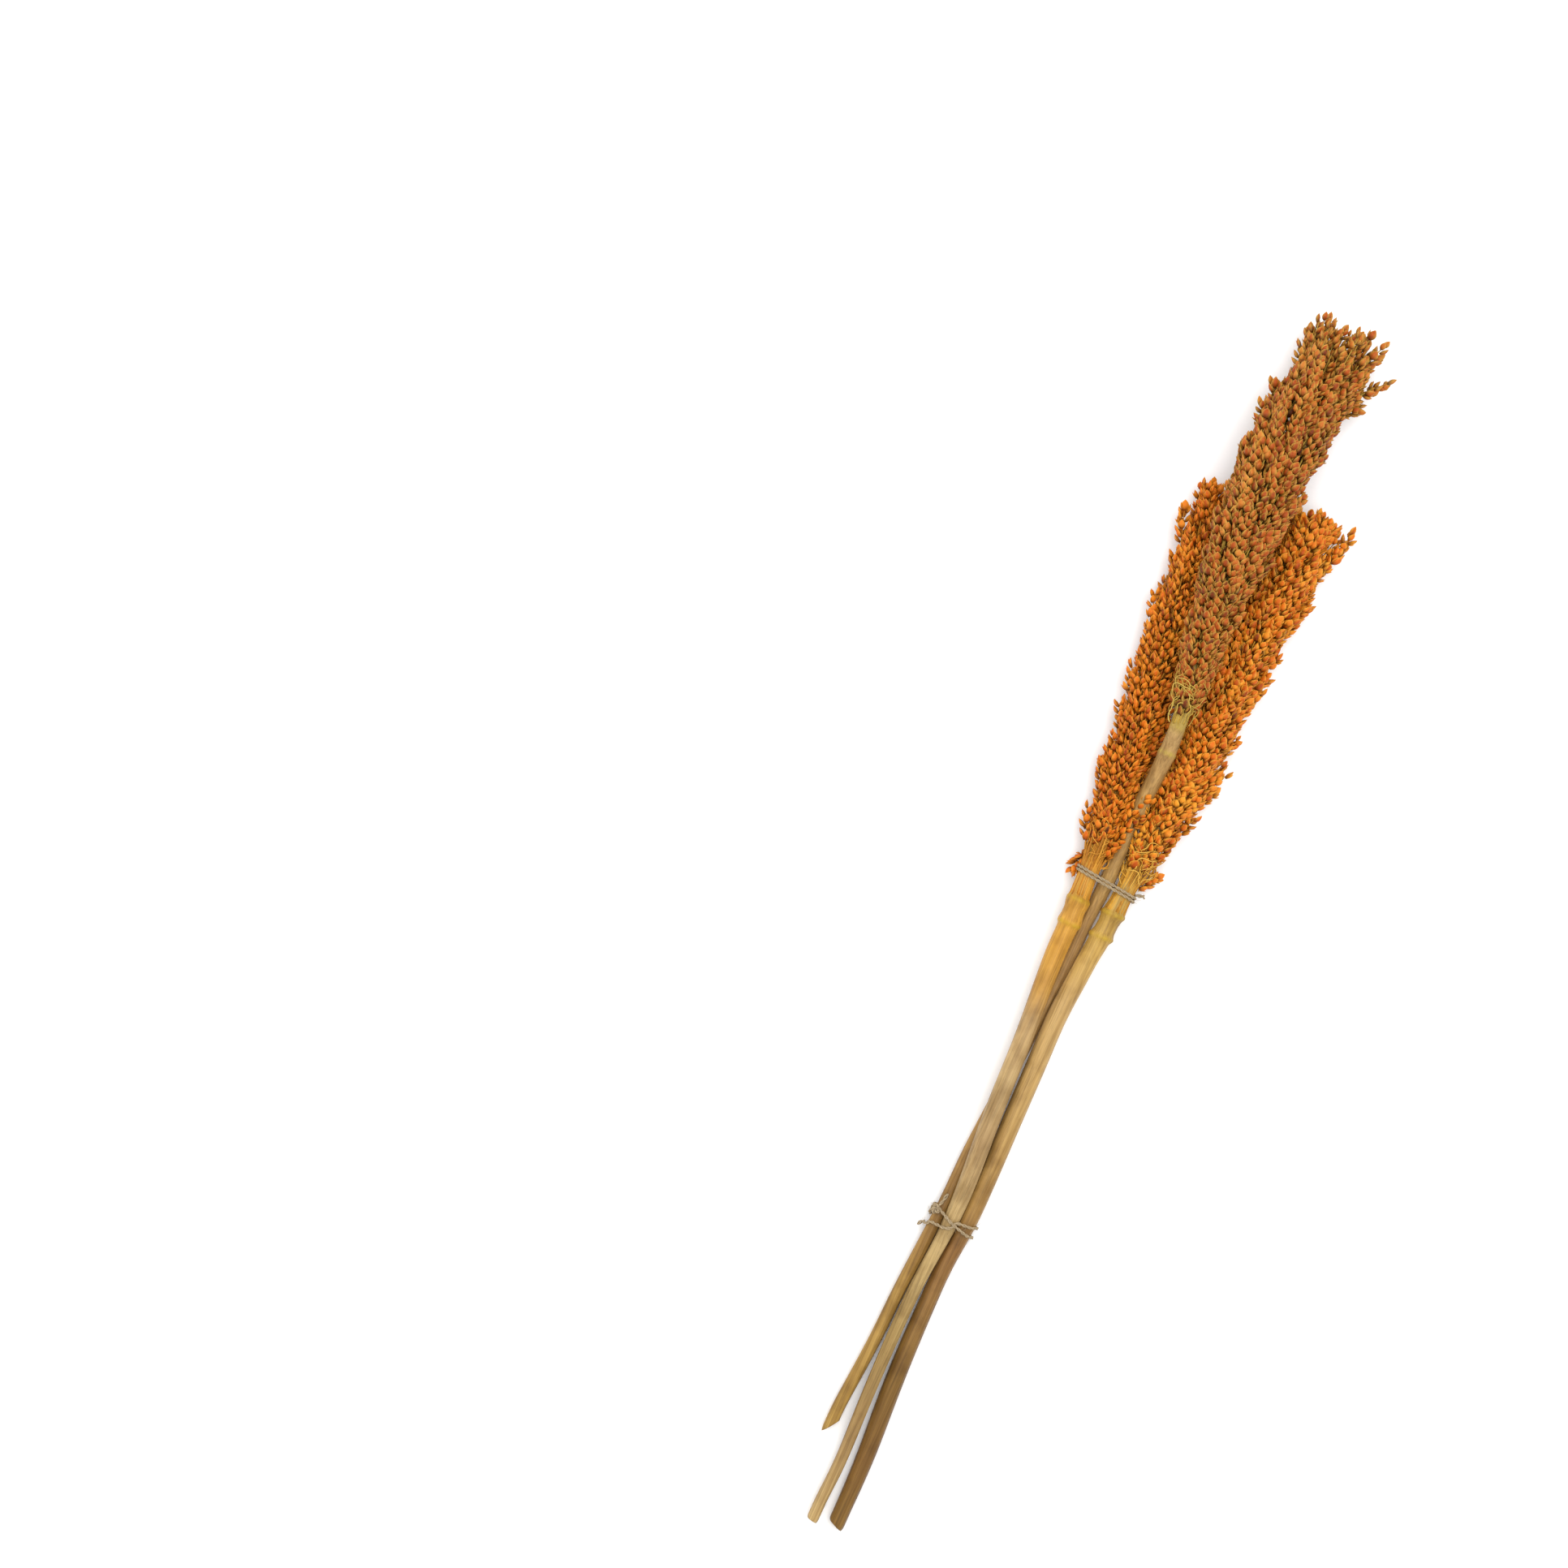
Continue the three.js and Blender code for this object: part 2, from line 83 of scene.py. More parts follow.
def stem_line(node):
    """Middle x, middle z and radius of a stem at every millimetre of its length."""
    points = corners_of(node)
    levels = np.round(points[:, 1], 5)
    rings = []
    for level in np.unique(levels):
        ring = np.unique(np.round(points[levels == level], 6), axis=0)
        if len(ring) < RING_CORNERS:
            continue
        middle = ring.mean(0) if len(ring) > RING_CORNERS else (ring.min(0) + ring.max(0)) / 2
        reach = np.hypot(ring[:, 0] - middle[0], ring[:, 2] - middle[2])
        rings.append((level, middle[0], middle[2], reach.max()))
    rings = np.array(rings)
    y = np.arange(points[:, 1].min(), points[:, 1].max(), LINE_STEP)
    line = {"y": y, "first": float(y[0]), "last": float(y[-1])}
    for key, column in (("x", 1), ("z", 2)):
        line[key] = softened(np.interp(y, rings[:, 0], rings[:, column]), 5)
    line["r"] = np.interp(y, rings[:, 0], rings[:, 3])
    return line


stems = {name: stem_line(f"{name}_stem") for name in HEADS}
for name, line in stems.items():
    print(f"{name} stem: {1000 * (line['last'] - line['first']):.0f} mm long")


def stem_at(name, y):
    """x, z and radius of a stem at the given places along the bundle."""
    line = stems[name]
    return tuple(np.interp(y, line["y"], line[key]) for key in ("x", "z", "r"))


# %% [markdown]
# ## How far each head reaches
# A head is wide in the middle, slim at the base, and pressed flat where it lies on the surface or on
# its neighbours. The corners of its CAD branches give its reach in every direction, gathered in a small
# table over place and angle, which is then smoothed.

# %% Gather each head's reach in a table
ANGLES = 24
REACH_STEP = 6 * MM
# An entry takes the furthest corner that is this near to its place and its angle.
NEAR_PLACE, NEAR_TURN = 11 * MM, 0.35


def head_reach_table(name):
    """The reach of a head over place along the bundle and angle round its thin axis."""
    branches = sorted(n for n in nodes if n.startswith(f"{name}_head_branch"))
    points = np.vstack([corners_of(n) for n in branches])
    x, z, _ = stem_at(name, points[:, 1])
    out = np.hypot(points[:, 0] - x, points[:, 2] - z)
    angle = np.arctan2(points[:, 2] - z, points[:, 0] - x)
    first, last = points[:, 1].min(), points[:, 1].max()
    places = np.arange(first, last + REACH_STEP, REACH_STEP)
    table = np.zeros((len(places), ANGLES))
    for i, place in enumerate(places):
        for j in range(ANGLES):
            turn = np.abs((angle - 2 * math.pi * j / ANGLES + math.pi) % (2 * math.pi) - math.pi)
            near = (np.abs(points[:, 1] - place) < NEAR_PLACE) & (turn < NEAR_TURN)
            table[i, j] = out[near].max() if near.any() else 0
    for _ in range(2):
        table = (np.roll(table, 1, 1) + 2 * table + np.roll(table, -1, 1)) / 4
        table[1:-1] = (table[:-2] + 2 * table[1:-1] + table[2:]) / 4
    middles = {n: corners_of(n).mean(0) for n in branches}
    return {"first": first, "last": last, "table": table, "middles": middles}


heads = {name: head_reach_table(name) for name in HEADS}
for name, head in heads.items():
    print(f"{name} head: {1000 * (head['last'] - head['first']):.0f} mm long, "
          f"widest reach {1000 * head['table'].max():.1f} mm")


def reach_at(name, y, angle):
    """The reach of a head, read from its table between its entries."""
    head = heads[name]
    table = head["table"]
    row = np.clip((y - head["first"]) / REACH_STEP, 0, len(table) - 1.001)
    column = (angle / (2 * math.pi) * ANGLES) % ANGLES
    i, j = np.floor(row).astype(int), np.floor(column).astype(int)
    f, g = row - i, column - j
    k = (j + 1) % ANGLES
    low = table[i, j] * (1 - g) + table[i, k] * g
    high = table[i + 1, j] * (1 - g) + table[i + 1, k] * g
    return low * (1 - f) + high * f


# %% [markdown]
# ## One way to make every mesh
# All the pieces here are grown from numbers, so one helper turns arrays into a Blender mesh. Besides
# points and faces it takes named values for each point, such as how pale a husk's rim is, which the
# materials read, and a flat layout of the surface, so that its colours can be baked for other programs.

# %% A helper that makes a piece from arrays
def make_piece(name, points, faces, values, flat, finish, replaced=()):
    """A mesh object that rides on the bundle. faces are triangles, values a dict of one number a point."""
    mesh = bpy.data.meshes.new(name)
    faces = np.asarray(faces, np.int32)
    mesh.vertices.add(len(points))
    mesh.vertices.foreach_set("co", np.asarray(points, np.float32).ravel())
    mesh.loops.add(faces.size)
    mesh.loops.foreach_set("vertex_index", faces.ravel())
    mesh.polygons.add(len(faces))
    mesh.polygons.foreach_set("loop_start", np.arange(0, faces.size, 3, dtype=np.int32))
    mesh.polygons.foreach_set("use_smooth", np.ones(len(faces), bool))
    for key, column in values.items():
        layer = mesh.attributes.new(key, "FLOAT", "POINT")
        layer.data.foreach_set("value", np.asarray(column, np.float32))
    layout = mesh.uv_layers.new(name="OFBake")
    layout.data.foreach_set("uv", np.asarray(flat, np.float32)[faces.ravel()].ravel())
    mesh.update()
    mesh.validate()
    piece = bpy.data.objects.new(name, mesh)
    bpy.context.scene.collection.objects.link(piece)
    mesh.materials.append(finish)
    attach(piece, "root")
    if replaced:
        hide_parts(*replaced)
    return piece


def joined(parts):
    """Several sets of (points, faces, values, flat) as one set, laid out side by side."""
    points, faces, flat, start = [], [], [], 0
    values = {key: [] for key in parts[0][2]}
    across = math.ceil(math.sqrt(len(parts)))
    for number, (p, f, v, u) in enumerate(parts):
        points.append(p)
        faces.append(np.asarray(f) + start)
        corner = np.array([number % across, number // across])
        flat.append((np.clip(u, 0, 1) * 0.98 + 0.01 + corner) / across)
        for key in values:
            values[key].append(v[key])
        start += len(p)
    return (np.vstack(points), np.vstack(faces),
            {key: np.concatenate(column) for key, column in values.items()}, np.vstack(flat))


# %% [markdown]
# ## One seed husk
# A sorghum spikelet is a grain of about 3 mm shut between two husks that meet in a sharp rim and end in
# a point, with a slim barren spikelet or two at its foot. A clam of two bulged leaves sharing one rim and
# two thin three-sided spikes give that shape with few faces. It is drawn once, in millimetres, and
# copied by arithmetic: thousands of separate objects would be slow to draw and to bake.

# %% Draw one seed husk
# The rows are shares of the length; widths and bulges are in millimetres.
HUSK_ROWS = np.array([0.0, 0.14, 0.34, 0.56, 0.76, 0.9, 1.0])
HUSK_WIDTH = np.array([0.5, 1.35, 1.86, 1.86, 1.32, 0.62, 0.03])
FRONT_BULGE = np.array([0.4, 1.05, 1.45, 1.4, 0.95, 0.42, 0.0])
BACK_BULGE = np.array([0.3, 0.55, 0.72, 0.68, 0.42, 0.18, 0.0])
HUSK_LENGTH = 5.2
SPIKE_ROWS = np.array([0.0, 0.4, 0.75, 1.0])
SPIKE_WIDTH = np.array([0.3, 0.74, 0.5, 0.03])


def husk_leaf(columns, bulge):
    """One bulged leaf: points, triangles, nearness to the rim, nearness to the foot (painted shade), flat
    layout.
    """
    u, t = np.meshgrid(columns, HUSK_ROWS)
    shape = np.interp(t, HUSK_ROWS, HUSK_WIDTH)
    height = np.interp(t, HUSK_ROWS, bulge) * (1 - 0.95 * np.abs(u) ** 1.8)
    points = np.stack([u * shape, HUSK_LENGTH * t, height], axis=-1).reshape(-1, 3)
    faces = []
    for i in range(len(HUSK_ROWS) - 1):
        for j in range(len(columns) - 1):
            a, b = i * len(columns) + j, i * len(columns) + j + 1
            c, d = a + len(columns), b + len(columns)
            faces += [(a, b, d), (a, d, c)]
    rim = np.clip((np.abs(u) - 0.62) / 0.3, 0, 1)
    rim = np.maximum(rim, np.clip((t - 0.88) / 0.12, 0, 1)).ravel()
    # The foot share darkens the lower part of each husk: painted shade, where the husks overlap.
    foot = np.clip(1 - t / 0.55, 0, 1).ravel()
    flat = np.stack([(u + 1) / 2, t], axis=-1).reshape(-1, 2)
    return points, np.array(faces), rim, foot, flat


def husk_spike(side, length):
    """A slim barren spikelet beside the husk: a three-sided spindle that leans to its side."""
    t = np.repeat(SPIKE_ROWS, 3)
    width = np.repeat(SPIKE_WIDTH, 3)
    turn = np.tile(np.arange(3) * 2 * math.pi / 3, len(SPIKE_ROWS))
    points = np.stack([side * (0.9 + 1.25 * np.sqrt(t) - 0.15 * t) + width * np.cos(turn), length * t,
                       0.5 + 0.5 * t - 0.75 * width * np.sin(turn)], axis=1)
    faces = [(0, 2, 1)]
    for i in range(len(SPIKE_ROWS) - 1):
        for j in range(3):
            a, b = 3 * i + j, 3 * i + (j + 1) % 3
            faces += [(a, b, b + 3), (a, b + 3, a + 3)]
    flat = np.stack([turn / (2 * math.pi) + 0.1, t], axis=1)
    # The fourth value is the share near the foot, which the finish darkens as painted shade.
    return points, np.array(faces), 0.2 + 0.6 * t, np.clip(1 - t / 0.6, 0, 1), flat


def whole_husk(spikes):
    """The two leaves and the given spikes as one template."""
    parts = [husk_leaf([-1, -0.75, -0.3, 0.3, 0.75, 1], FRONT_BULGE), husk_leaf([1, 0, -1], -BACK_BULGE)]
    parts += [husk_spike(side, length) for side, length in spikes]
    points, faces, rims, feet, flats, start = [], [], [], [], [], 0
    for number, (p, f, rim, foot, flat) in enumerate(parts):
        points.append(p)
        faces.append(f + start)
        rims.append(rim)
        feet.append(foot)
        flats.append(np.stack([flat[:, 0] * 0.23 + number / 4, flat[:, 1]], axis=-1))
        start += len(p)
    return (np.vstack(points), np.vstack(faces), np.concatenate(rims), np.concatenate(feet),
            np.vstack(flats))


HUSK_KINDS = [whole_husk([(1, 3.9), (-1, 3.2)]), whole_husk([(-1, 4.2)]), whole_husk([])]
print("husk kinds have", [len(kind[1]) for kind in HUSK_KINDS], "faces")

# %% Copy the husk to many places
FLOOR_CLEAR = 0.1 * MM


def husks_at(kind, places, ahead, front, sizes, widths, shades):
    """Copies of a husk with its foot at each place, pointing ahead, its bulged side to the front."""
    own_points, own_faces, own_rim, own_foot_shade, own_flat = kind
    ahead = ahead / np.linalg.norm(ahead, axis=1, keepdims=True)
    front = front - (front * ahead).sum(1, keepdims=True) * ahead
    front /= np.linalg.norm(front, axis=1, keepdims=True)
    across = np.cross(ahead, front)
    turn = np.stack([across * widths[:, None], ahead, front], axis=1) * sizes[:, None, None]
    points = np.einsum("pi,kij->kpj", own_points * MM, turn) + places[:, None]
    points[:, :, 2] += np.maximum(FLOOR_CLEAR - points[:, :, 2].min(1), 0)[:, None]
    count, corners = len(places), len(own_points)
    faces = (own_faces[None] + (np.arange(count) * corners)[:, None, None]).reshape(-1, 3)
    grid = math.ceil(math.sqrt(count))
    cell = np.stack([np.arange(count) % grid, np.arange(count) // grid], axis=1)
    flat = ((own_flat[None] * 0.92 + 0.04 + cell[:, None]) / grid).reshape(-1, 2)
    values = {"shade": np.repeat(shades, corners), "rim": np.tile(own_rim, count),
              "foot": np.tile(own_foot_shade, count), "stalk": np.zeros(count * corners)}
    return points.reshape(-1, 3), faces, values, flat


# %% Draw many thin stalks at once
def stalks_along(lines, radii, sides, shade):
    """Thin tubes along lines of the same number of points: lines is (count, points, 3)."""
    lines = np.asarray(lines, float)
    ahead = np.gradient(lines, axis=1)
    ahead /= np.linalg.norm(ahead, axis=2, keepdims=True) + 1e-12
    aside = np.cross(ahead, np.array([0.31, 0.2, 0.93]))
    aside /= np.linalg.norm(aside, axis=2, keepdims=True) + 1e-12
    above = np.cross(ahead, aside)
    turn = 2 * math.pi * np.arange(sides) / sides
    ring = (np.cos(turn)[:, None] * aside[:, :, None] + np.sin(turn)[:, None] * above[:, :, None])
    points = lines[:, :, None] + ring * np.asarray(radii)[..., None, None]
    points[..., 2] += np.maximum(FLOOR_CLEAR - points[..., 2].min(2), 0)[..., None]
    count, steps = lines.shape[:2]
    faces = []
    for i in range(steps - 1):
        for j in range(sides):
            a, b = i * sides + j, i * sides + (j + 1) % sides
            faces += [(a, b, b + sides), (a, b + sides, a + sides)]
    last = (steps - 1) * sides
    for j in range(1, sides - 1):
        faces += [(0, j + 1, j), (last, last + j, last + j + 1)]
    faces = (np.array(faces)[None] + (np.arange(count) * steps * sides)[:, None, None]).reshape(-1, 3)
    grid = math.ceil(math.sqrt(count))
    cell = np.stack([np.arange(count) % grid, np.arange(count) // grid], axis=1)
    u, v = np.meshgrid(np.arange(sides) / sides, np.arange(steps) / (steps - 1))
    own = np.stack([u, v], axis=-1).reshape(-1, 2)
    flat = ((own[None] * 0.9 + 0.05 + cell[:, None]) / grid).reshape(-1, 2)
    total = count * steps * sides
    values = {"shade": np.repeat(np.broadcast_to(shade, count), steps * sides),
              "rim": np.zeros(total), "foot": np.zeros(total), "stalk": np.ones(total)}
    return points.reshape(-1, 3), faces, values, flat


# %% [markdown]
# ## Sprays of husks
# On the plant each short side branch carries a spray: husks in three overlapping rows, pointing up and
# out, the last one at the tip. A spray is a path with an outward side, and a path gives the places of
# its husks. Most paths climb along a head, set by their foot, length, angle round the head and lean.
# Where a head is loose, at its top and along its edges, sprays stand off it on straight paths of their
# own, with husks on every side and bare stalk showing between.

# %% Two kinds of path
def climbing_path(name, sprays):
    """Paths along a head, as a function of the shares t of their length."""
    def path(t):
        y = sprays["foot"][:, None] + sprays["length"][:, None] * t
        angle = sprays["angle"][:, None] + sprays["twist"][:, None] * t
        climb = np.sign(t) * np.abs(t) ** sprays["bow"][:, None]
        out = sprays["low"][:, None] + (sprays["high"] - sprays["low"])[:, None] * climb
        x, z, _ = stem_at(name, y)
        way = np.stack([np.cos(angle), np.zeros_like(angle), np.sin(angle)], axis=-1)
        return np.stack([x, y, z], axis=-1) + out[..., None] * way, way
    return path


def open_path(feet, tips, sag):
    """Straight paths from feet to tips, sagging a little, with their outward side up."""
    def path(t):
        share = np.asarray(t, float)[None, :, None]
        points = feet[:, None] + (tips - feet)[:, None] * share
        points[..., 2] -= sag * np.sin(math.pi * share[..., 0])
        way = np.broadcast_to(np.array([0.0, 0.0, 1.0]), points.shape)
        return points, way
    return path


# %% Place the husks of many sprays
# How wide the husks are, how far they splay and in which rows they stand (degrees), how uneven the rows
# are, and how often each husk kind comes.
LOOKS = {
    "left": {"wide": 0.68, "splay": 34, "rows": (-64, 64, 0), "spread": 0.22, "kinds": (0.4, 0.4, 0.2)},
    "middle": {"wide": 1.0, "splay": 25, "rows": (-60, 60, 0), "spread": 0.26, "kinds": (0.25, 0.35, 0.4)},
    "right": {"wide": 0.95, "splay": 27, "rows": (-60, 60, 0), "spread": 0.26, "kinds": (0.25, 0.4, 0.35)},
}
OPEN_LOOK = {"wide": 0.9, "splay": 30, "rows": (-95, 80, 0, 170), "spread": 0.5, "kinds": (0.2, 0.4, 0.4)}


def grow_sprays(path, look, per_spray, shades, rng):
    """The husks and the stalk of every spray, as one set of arrays for each spray."""
    count = len(shades)
    t = (np.arange(per_spray) + 0.4) / per_spray
    here, out = path(t)
    ahead = path(t + 0.03)[0] - path(t - 0.03)[0]
    ahead /= np.linalg.norm(ahead, axis=2, keepdims=True)
    out = out - (out * ahead).sum(2, keepdims=True) * ahead
    out /= np.linalg.norm(out, axis=2, keepdims=True)
    side = np.cross(ahead, out)
    rows = np.radians(look["rows"])
    row = rows[(np.arange(per_spray)[None] + rng.integers(0, len(rows), count)[:, None]) % len(rows)]
    row = row + rng.normal(0, look["spread"], row.shape)
    way = np.cos(row)[..., None] * out + np.sin(row)[..., None] * side
    splay = np.radians(rng.normal(look["splay"], 6, row.shape))
    splay[:, -1] = 0.1
    point = np.cos(splay)[..., None] * ahead + np.sin(splay)[..., None] * way
    front = np.cos(splay)[..., None] * way - np.sin(splay)[..., None] * ahead
    front += rng.normal(0, 0.2, front.shape)
    size = rng.normal(1.0, 0.09, row.shape) * np.linspace(1.0, 0.9, per_spray)
    wide = look["wide"] * rng.normal(1.0, 0.12, row.shape)
    shade = np.clip(shades[:, None] + rng.normal(0, 0.13, row.shape), 0, 1)
    places = here + 0.8 * MM * way
    lines = path(np.linspace(-0.25, 0.97, 6))[0]
    thick = np.broadcast_to(np.linspace(0.6, 0.25, 6) * MM, (count, 6))
    kinds = rng.choice(len(HUSK_KINDS), row.shape, p=look["kinds"])
    grown = []
    for i in range(count):
        parts = [stalks_along(lines[i:i + 1], thick[i:i + 1], 4, 0.5)]
        for number, kind in enumerate(HUSK_KINDS):
            own = kinds[i] == number
            if own.any():
                parts.append(husks_at(kind, places[i, own], point[i, own], front[i, own],
                                      size[i, own], wide[i, own], shade[i, own]))
        grown.append((parts, lines[i, 3]))
    return grown


# %% [markdown]
# ## Filling the heads
# Sprays are set round each head like roof tiles: ring after ring, each ring shifted by half a tile, with
# every place, angle and lean a little off. A second, deeper layer closes the gaps; it is darker with
# painted shade, for the shade that falls between the sprays. Sprays that stand off a head are listed
# one by one, and each head ends in a loose crown of them. Each spray then joins the CAD branch it lies
# nearest to, so the dressed pieces stand for the same branches.

# %% Where the heads are loose
# Each row: foot below the head's top, foot aside of its stem, tip below the top, tip aside and tip up (mm).
EDGE_SPRAYS = {
    "left": [(33, -11.5, 17, -15, 2), (14, -3, 0, -5, 1), (19, -7.5, 3, -10.5, 0), (79, -11, 61, -15, 2),
             (157, -9, 147, -11, 0), (187, -7, 171, -11, 0), (192, -4, 202, -8, -4), (130, -9, 118, -13, 2),
             (112, -10, 98, -13.5, 1), (50, -9, 38, -12.5, 2), (135, 6.5, 117, 12.5, 1),
             (149, 6.5, 131, 11.5, 2), (161, 6.5, 144, 11.5, 4), (173, 6, 156, 14.5, 9),
             (179, 6, 165, 15, 8), (191, 4, 179, 8, 6), (123, 7, 106, 12, 0)],
    "middle": [(24, -11, 1, -16, 4), (22, -13, 0, -12, -2), (20, -8, 3, -4.5, 3), (28, 1, 2, 3.5, 5),
               (24, 6, 0, 9, 0), (24, 10, 1, 16.5, 2), (24, 10, 7, 16.5, -4), (37, 13, 17, 28, 1),
               (40, 13, 22, 22, 4), (42, 14, 34, 23, -3), (21, -13, 8, -19.5, -3), (32, -10, 22, -17.5, 2),
               (52, -11, 40, -20, 0), (66, -11, 53, -19.5, 3)],
    "right": [(34, 11, 14, 17.5, 1), (21, 15.5, 2, 19.5, 2), (28, 8.5, 6, 14.5, -1), (20, 4.5, 3, 9, 5),
              (18, 0, 0, 1, 4), (54, 11.5, 43, 16, 0), (66, 10, 54, 14.5, 2), (108, 10.5, 92, 15, 1),
              (94, 10, 84, 15, 3), (88, 10, 73, 15, -2), (130, 9, 118, 14.5, 1), (156, 7, 136, 16, 1),
              (163, 7, 146, 15, -3), (178, 7, 162, 12.5, 1), (205, 4, 196, 11, -4), (194, -4, 179, -8, 7),
              (178, -6, 161, -12, 6), (161, -7, 144, -13, 4), (145, -6.5, 128, -11.5, 2),
              (128, -5.5, 111, -11, 1)],
}
# Each crown: how many sprays, how far they spread aside and up, and how far below the top it starts (mm).
CROWNS = {"left": (6, 6, 6, 19), "middle": (26, 18, 13, 36), "right": (9, 9, 8, 19)}
# The turn in radians from one spray of a crown to the next, which spaces them evenly.
CROWN_TURN = 2.4
# How much shorter a crown's sprays are over its stem, and how wide that parting is (mm).
PARTINGS = {"left": 0, "middle": 13, "right": 3}
PARTING_WIDTH = 4.5

# %% Lay out the climbing sprays of a head
# Along the head from ring to ring, and round it from spray to spray.
RING_STEP = 11.0 * MM
TILE_WIDTH = 6.5 * MM
SPRAY_LENGTH, SPRAY_SPREAD = 20 * MM, 2.4 * MM
FOOT_SPREAD = 2.6 * MM
HUSK_STAND = 2.6 * MM
LUMP_LENGTH, LUMP_HEIGHT = 31 * MM, 1.3 * MM
ROUND_TURNS = np.arange(12) * 0.524
# How much of the foot of a head is left to the strands.
BARE_FOOT = {"left": 9 * MM, "middle": 2 * MM, "right": 7 * MM}
# Where a spray has broken off: how far below the top (mm), in which direction, and how deep (mm).
HOLLOWS = {"left": [], "middle": [(32, math.pi, 7)], "right": [(148, 0.6, 4)]}
HOLLOW_LENGTH, HOLLOW_TURN = 9 * MM, 0.7
# How much paler the youngest husks are, which grow over the last stretch below the top.
PALE_LENGTH = 75 * MM
PALE_TIP = {"left": 0.05, "middle": 0.2, "right": 0.1}


def spray_layout(name, rng, depth, width, step):
    """The spray values of one layer of a head; depth is how far it lies under the head's outline, and darkens
    the layer with painted shade.
    """
    head = heads[name]
    rows = {key: [] for key in ("foot", "length", "angle", "twist", "low", "high", "bow", "shade")}
    ring, place = 0, head["first"] + BARE_FOOT[name]
    phase = rng.uniform(0, 6.3, 2)
    while place < head["last"] - CROWNS[name][3] * MM:
        reach = float(np.mean(reach_at(name, np.full(12, place + 10 * MM), ROUND_TURNS)))
        count = max(5, round(2 * math.pi * (reach - depth - 2 * MM) / width))
        angle = 2 * math.pi * (np.arange(count) + 0.5 * (ring % 2) + 0.3 * rng.random()) / count
        angle += rng.normal(0, 0.09, count)
        foot = place + rng.normal(0, FOOT_SPREAD, count)
        length = rng.normal(SPRAY_LENGTH, SPRAY_SPREAD, count)
        length = np.minimum(length, head["last"] - foot - 3 * MM)
        edge = reach_at(name, foot + 0.8 * length, angle)
        axis = stem_at(name, foot + 0.5 * length)[2]
        lump = np.sin(2 * math.pi * foot / LUMP_LENGTH + angle + phase[0]) * np.cos(2 * angle + phase[1])
        high = edge - depth - HUSK_STAND + LUMP_HEIGHT * lump + rng.normal(0, LUMP_HEIGHT, count)
        high = np.maximum(high, axis + 0.6 * MM)
        for down, side, deep in HOLLOWS[name]:
            along = (head["last"] - down * MM - foot - 0.8 * length) / HOLLOW_LENGTH
            around = ((angle - side + math.pi) % (2 * math.pi) - math.pi) / HOLLOW_TURN
            high = high - deep * MM * np.exp(-(along ** 2) - around ** 2)
        low = np.maximum(reach_at(name, foot, angle) - depth - 6 * MM, axis + 0.2 * MM)
        rows["foot"].append(foot)
        rows["length"].append(length)
        rows["angle"].append(angle)
        rows["twist"].append(rng.normal(0, 0.2, count))
        rows["low"].append(np.minimum(low, high - 0.5 * MM))
        rows["high"].append(high)
        rows["bow"].append(rng.uniform(0.8, 1.3, count))
        paler = PALE_TIP[name] * np.clip(1 - (head["last"] - foot) / PALE_LENGTH, 0, 1)
        # Deeper layers sit lower on the colour ramp: painted shade, 0.1 darker for each millimetre of depth.
        rows["shade"].append(np.clip(rng.normal(0.55 - 100 * depth, 0.15, count) + paler, 0, 1))
        ring += 1
        place += step
    return {key: np.concatenate(column) for key, column in rows.items()}


# %% Lay out the open sprays of a head
def open_sprays(name, rng):
    """Feet and tips of the sprays that stand off a head: along its edges, and a loose crown on top."""
    top = heads[name]["last"]
    feet, tips = [], []
    for foot_down, foot_aside, tip_down, tip_aside, tip_up in EDGE_SPRAYS[name]:
        both_ends = ((feet, foot_down, foot_aside, 0.4 * tip_up), (tips, tip_down, tip_aside, tip_up))
        for ends, down, aside, up in both_ends:
            x, z, _ = stem_at(name, top - down * MM)
            ends.append((x + aside * MM, top - down * MM, z + up * MM))
    count, wide, tall, start = CROWNS[name]
    turn = CROWN_TURN * np.arange(count) + rng.uniform(0, 1)
    share = np.sqrt((np.arange(count) + 0.5) / count)
    x, z, _ = stem_at(name, top - start * MM)
    for angle, out in zip(turn, share):
        aside, up = out * wide * math.cos(angle), out * tall * math.sin(angle)
        low = start + 6 + rng.normal(0, 3)
        feet.append((x + 0.6 * aside * MM, top - low * MM, z + 0.6 * up * MM))
        dip = PARTINGS[name] * math.exp(-((aside / PARTING_WIDTH) ** 2))
        below = 1 + dip + 6 * out * out - rng.normal(0, 2.5)
        tips.append((x + aside * MM, top - below * MM, z + up * MM))
    return np.array(feet), np.array(tips)


def nearest_branch(name, point):
    """The CAD branch whose middle lies nearest, with less weight on the way along the head."""
    weight = np.array([1, 0.35, 1])
    middles = heads[name]["middles"]
    return min(middles, key=lambda n: float(np.linalg.norm((middles[n] - point) * weight)))


# %% [markdown]
# ## The finish of the heads
# Dry husks are dull, a little leathery, and no two are the same colour. The named values carried by the
# points do most of the work: one picks a husk's own colour from a ramp, whose dark end is painted shade
# for the deeper husks, one turns its rim pale, one darkens each husk's foot with painted shade where the
# husks overlap, and one marks stalks. Fine noise mottles them, and a small bump keeps the gloss broken.

# %% Helpers for node materials
def from_screen(red, green, blue):
    """A colour named in 0 to 255 screen values as the linear values Blender's sockets take."""
    return tuple(v / 12.92 if v <= 0.04045 else ((v + 0.055) / 1.055) ** 2.4
                 for v in (red / 255, green / 255, blue / 255)) + (1.0,)


def new_finish(name, roughness):
    """A material with its Principled shader ready."""
    finish = bpy.data.materials.new(name)
    finish.use_nodes = True
    shader = finish.node_tree.nodes["Principled BSDF"]
    shader.inputs["Roughness"].default_value = roughness
    shader.inputs["Specular IOR Level"].default_value = 0.2
    return finish, finish.node_tree, shader


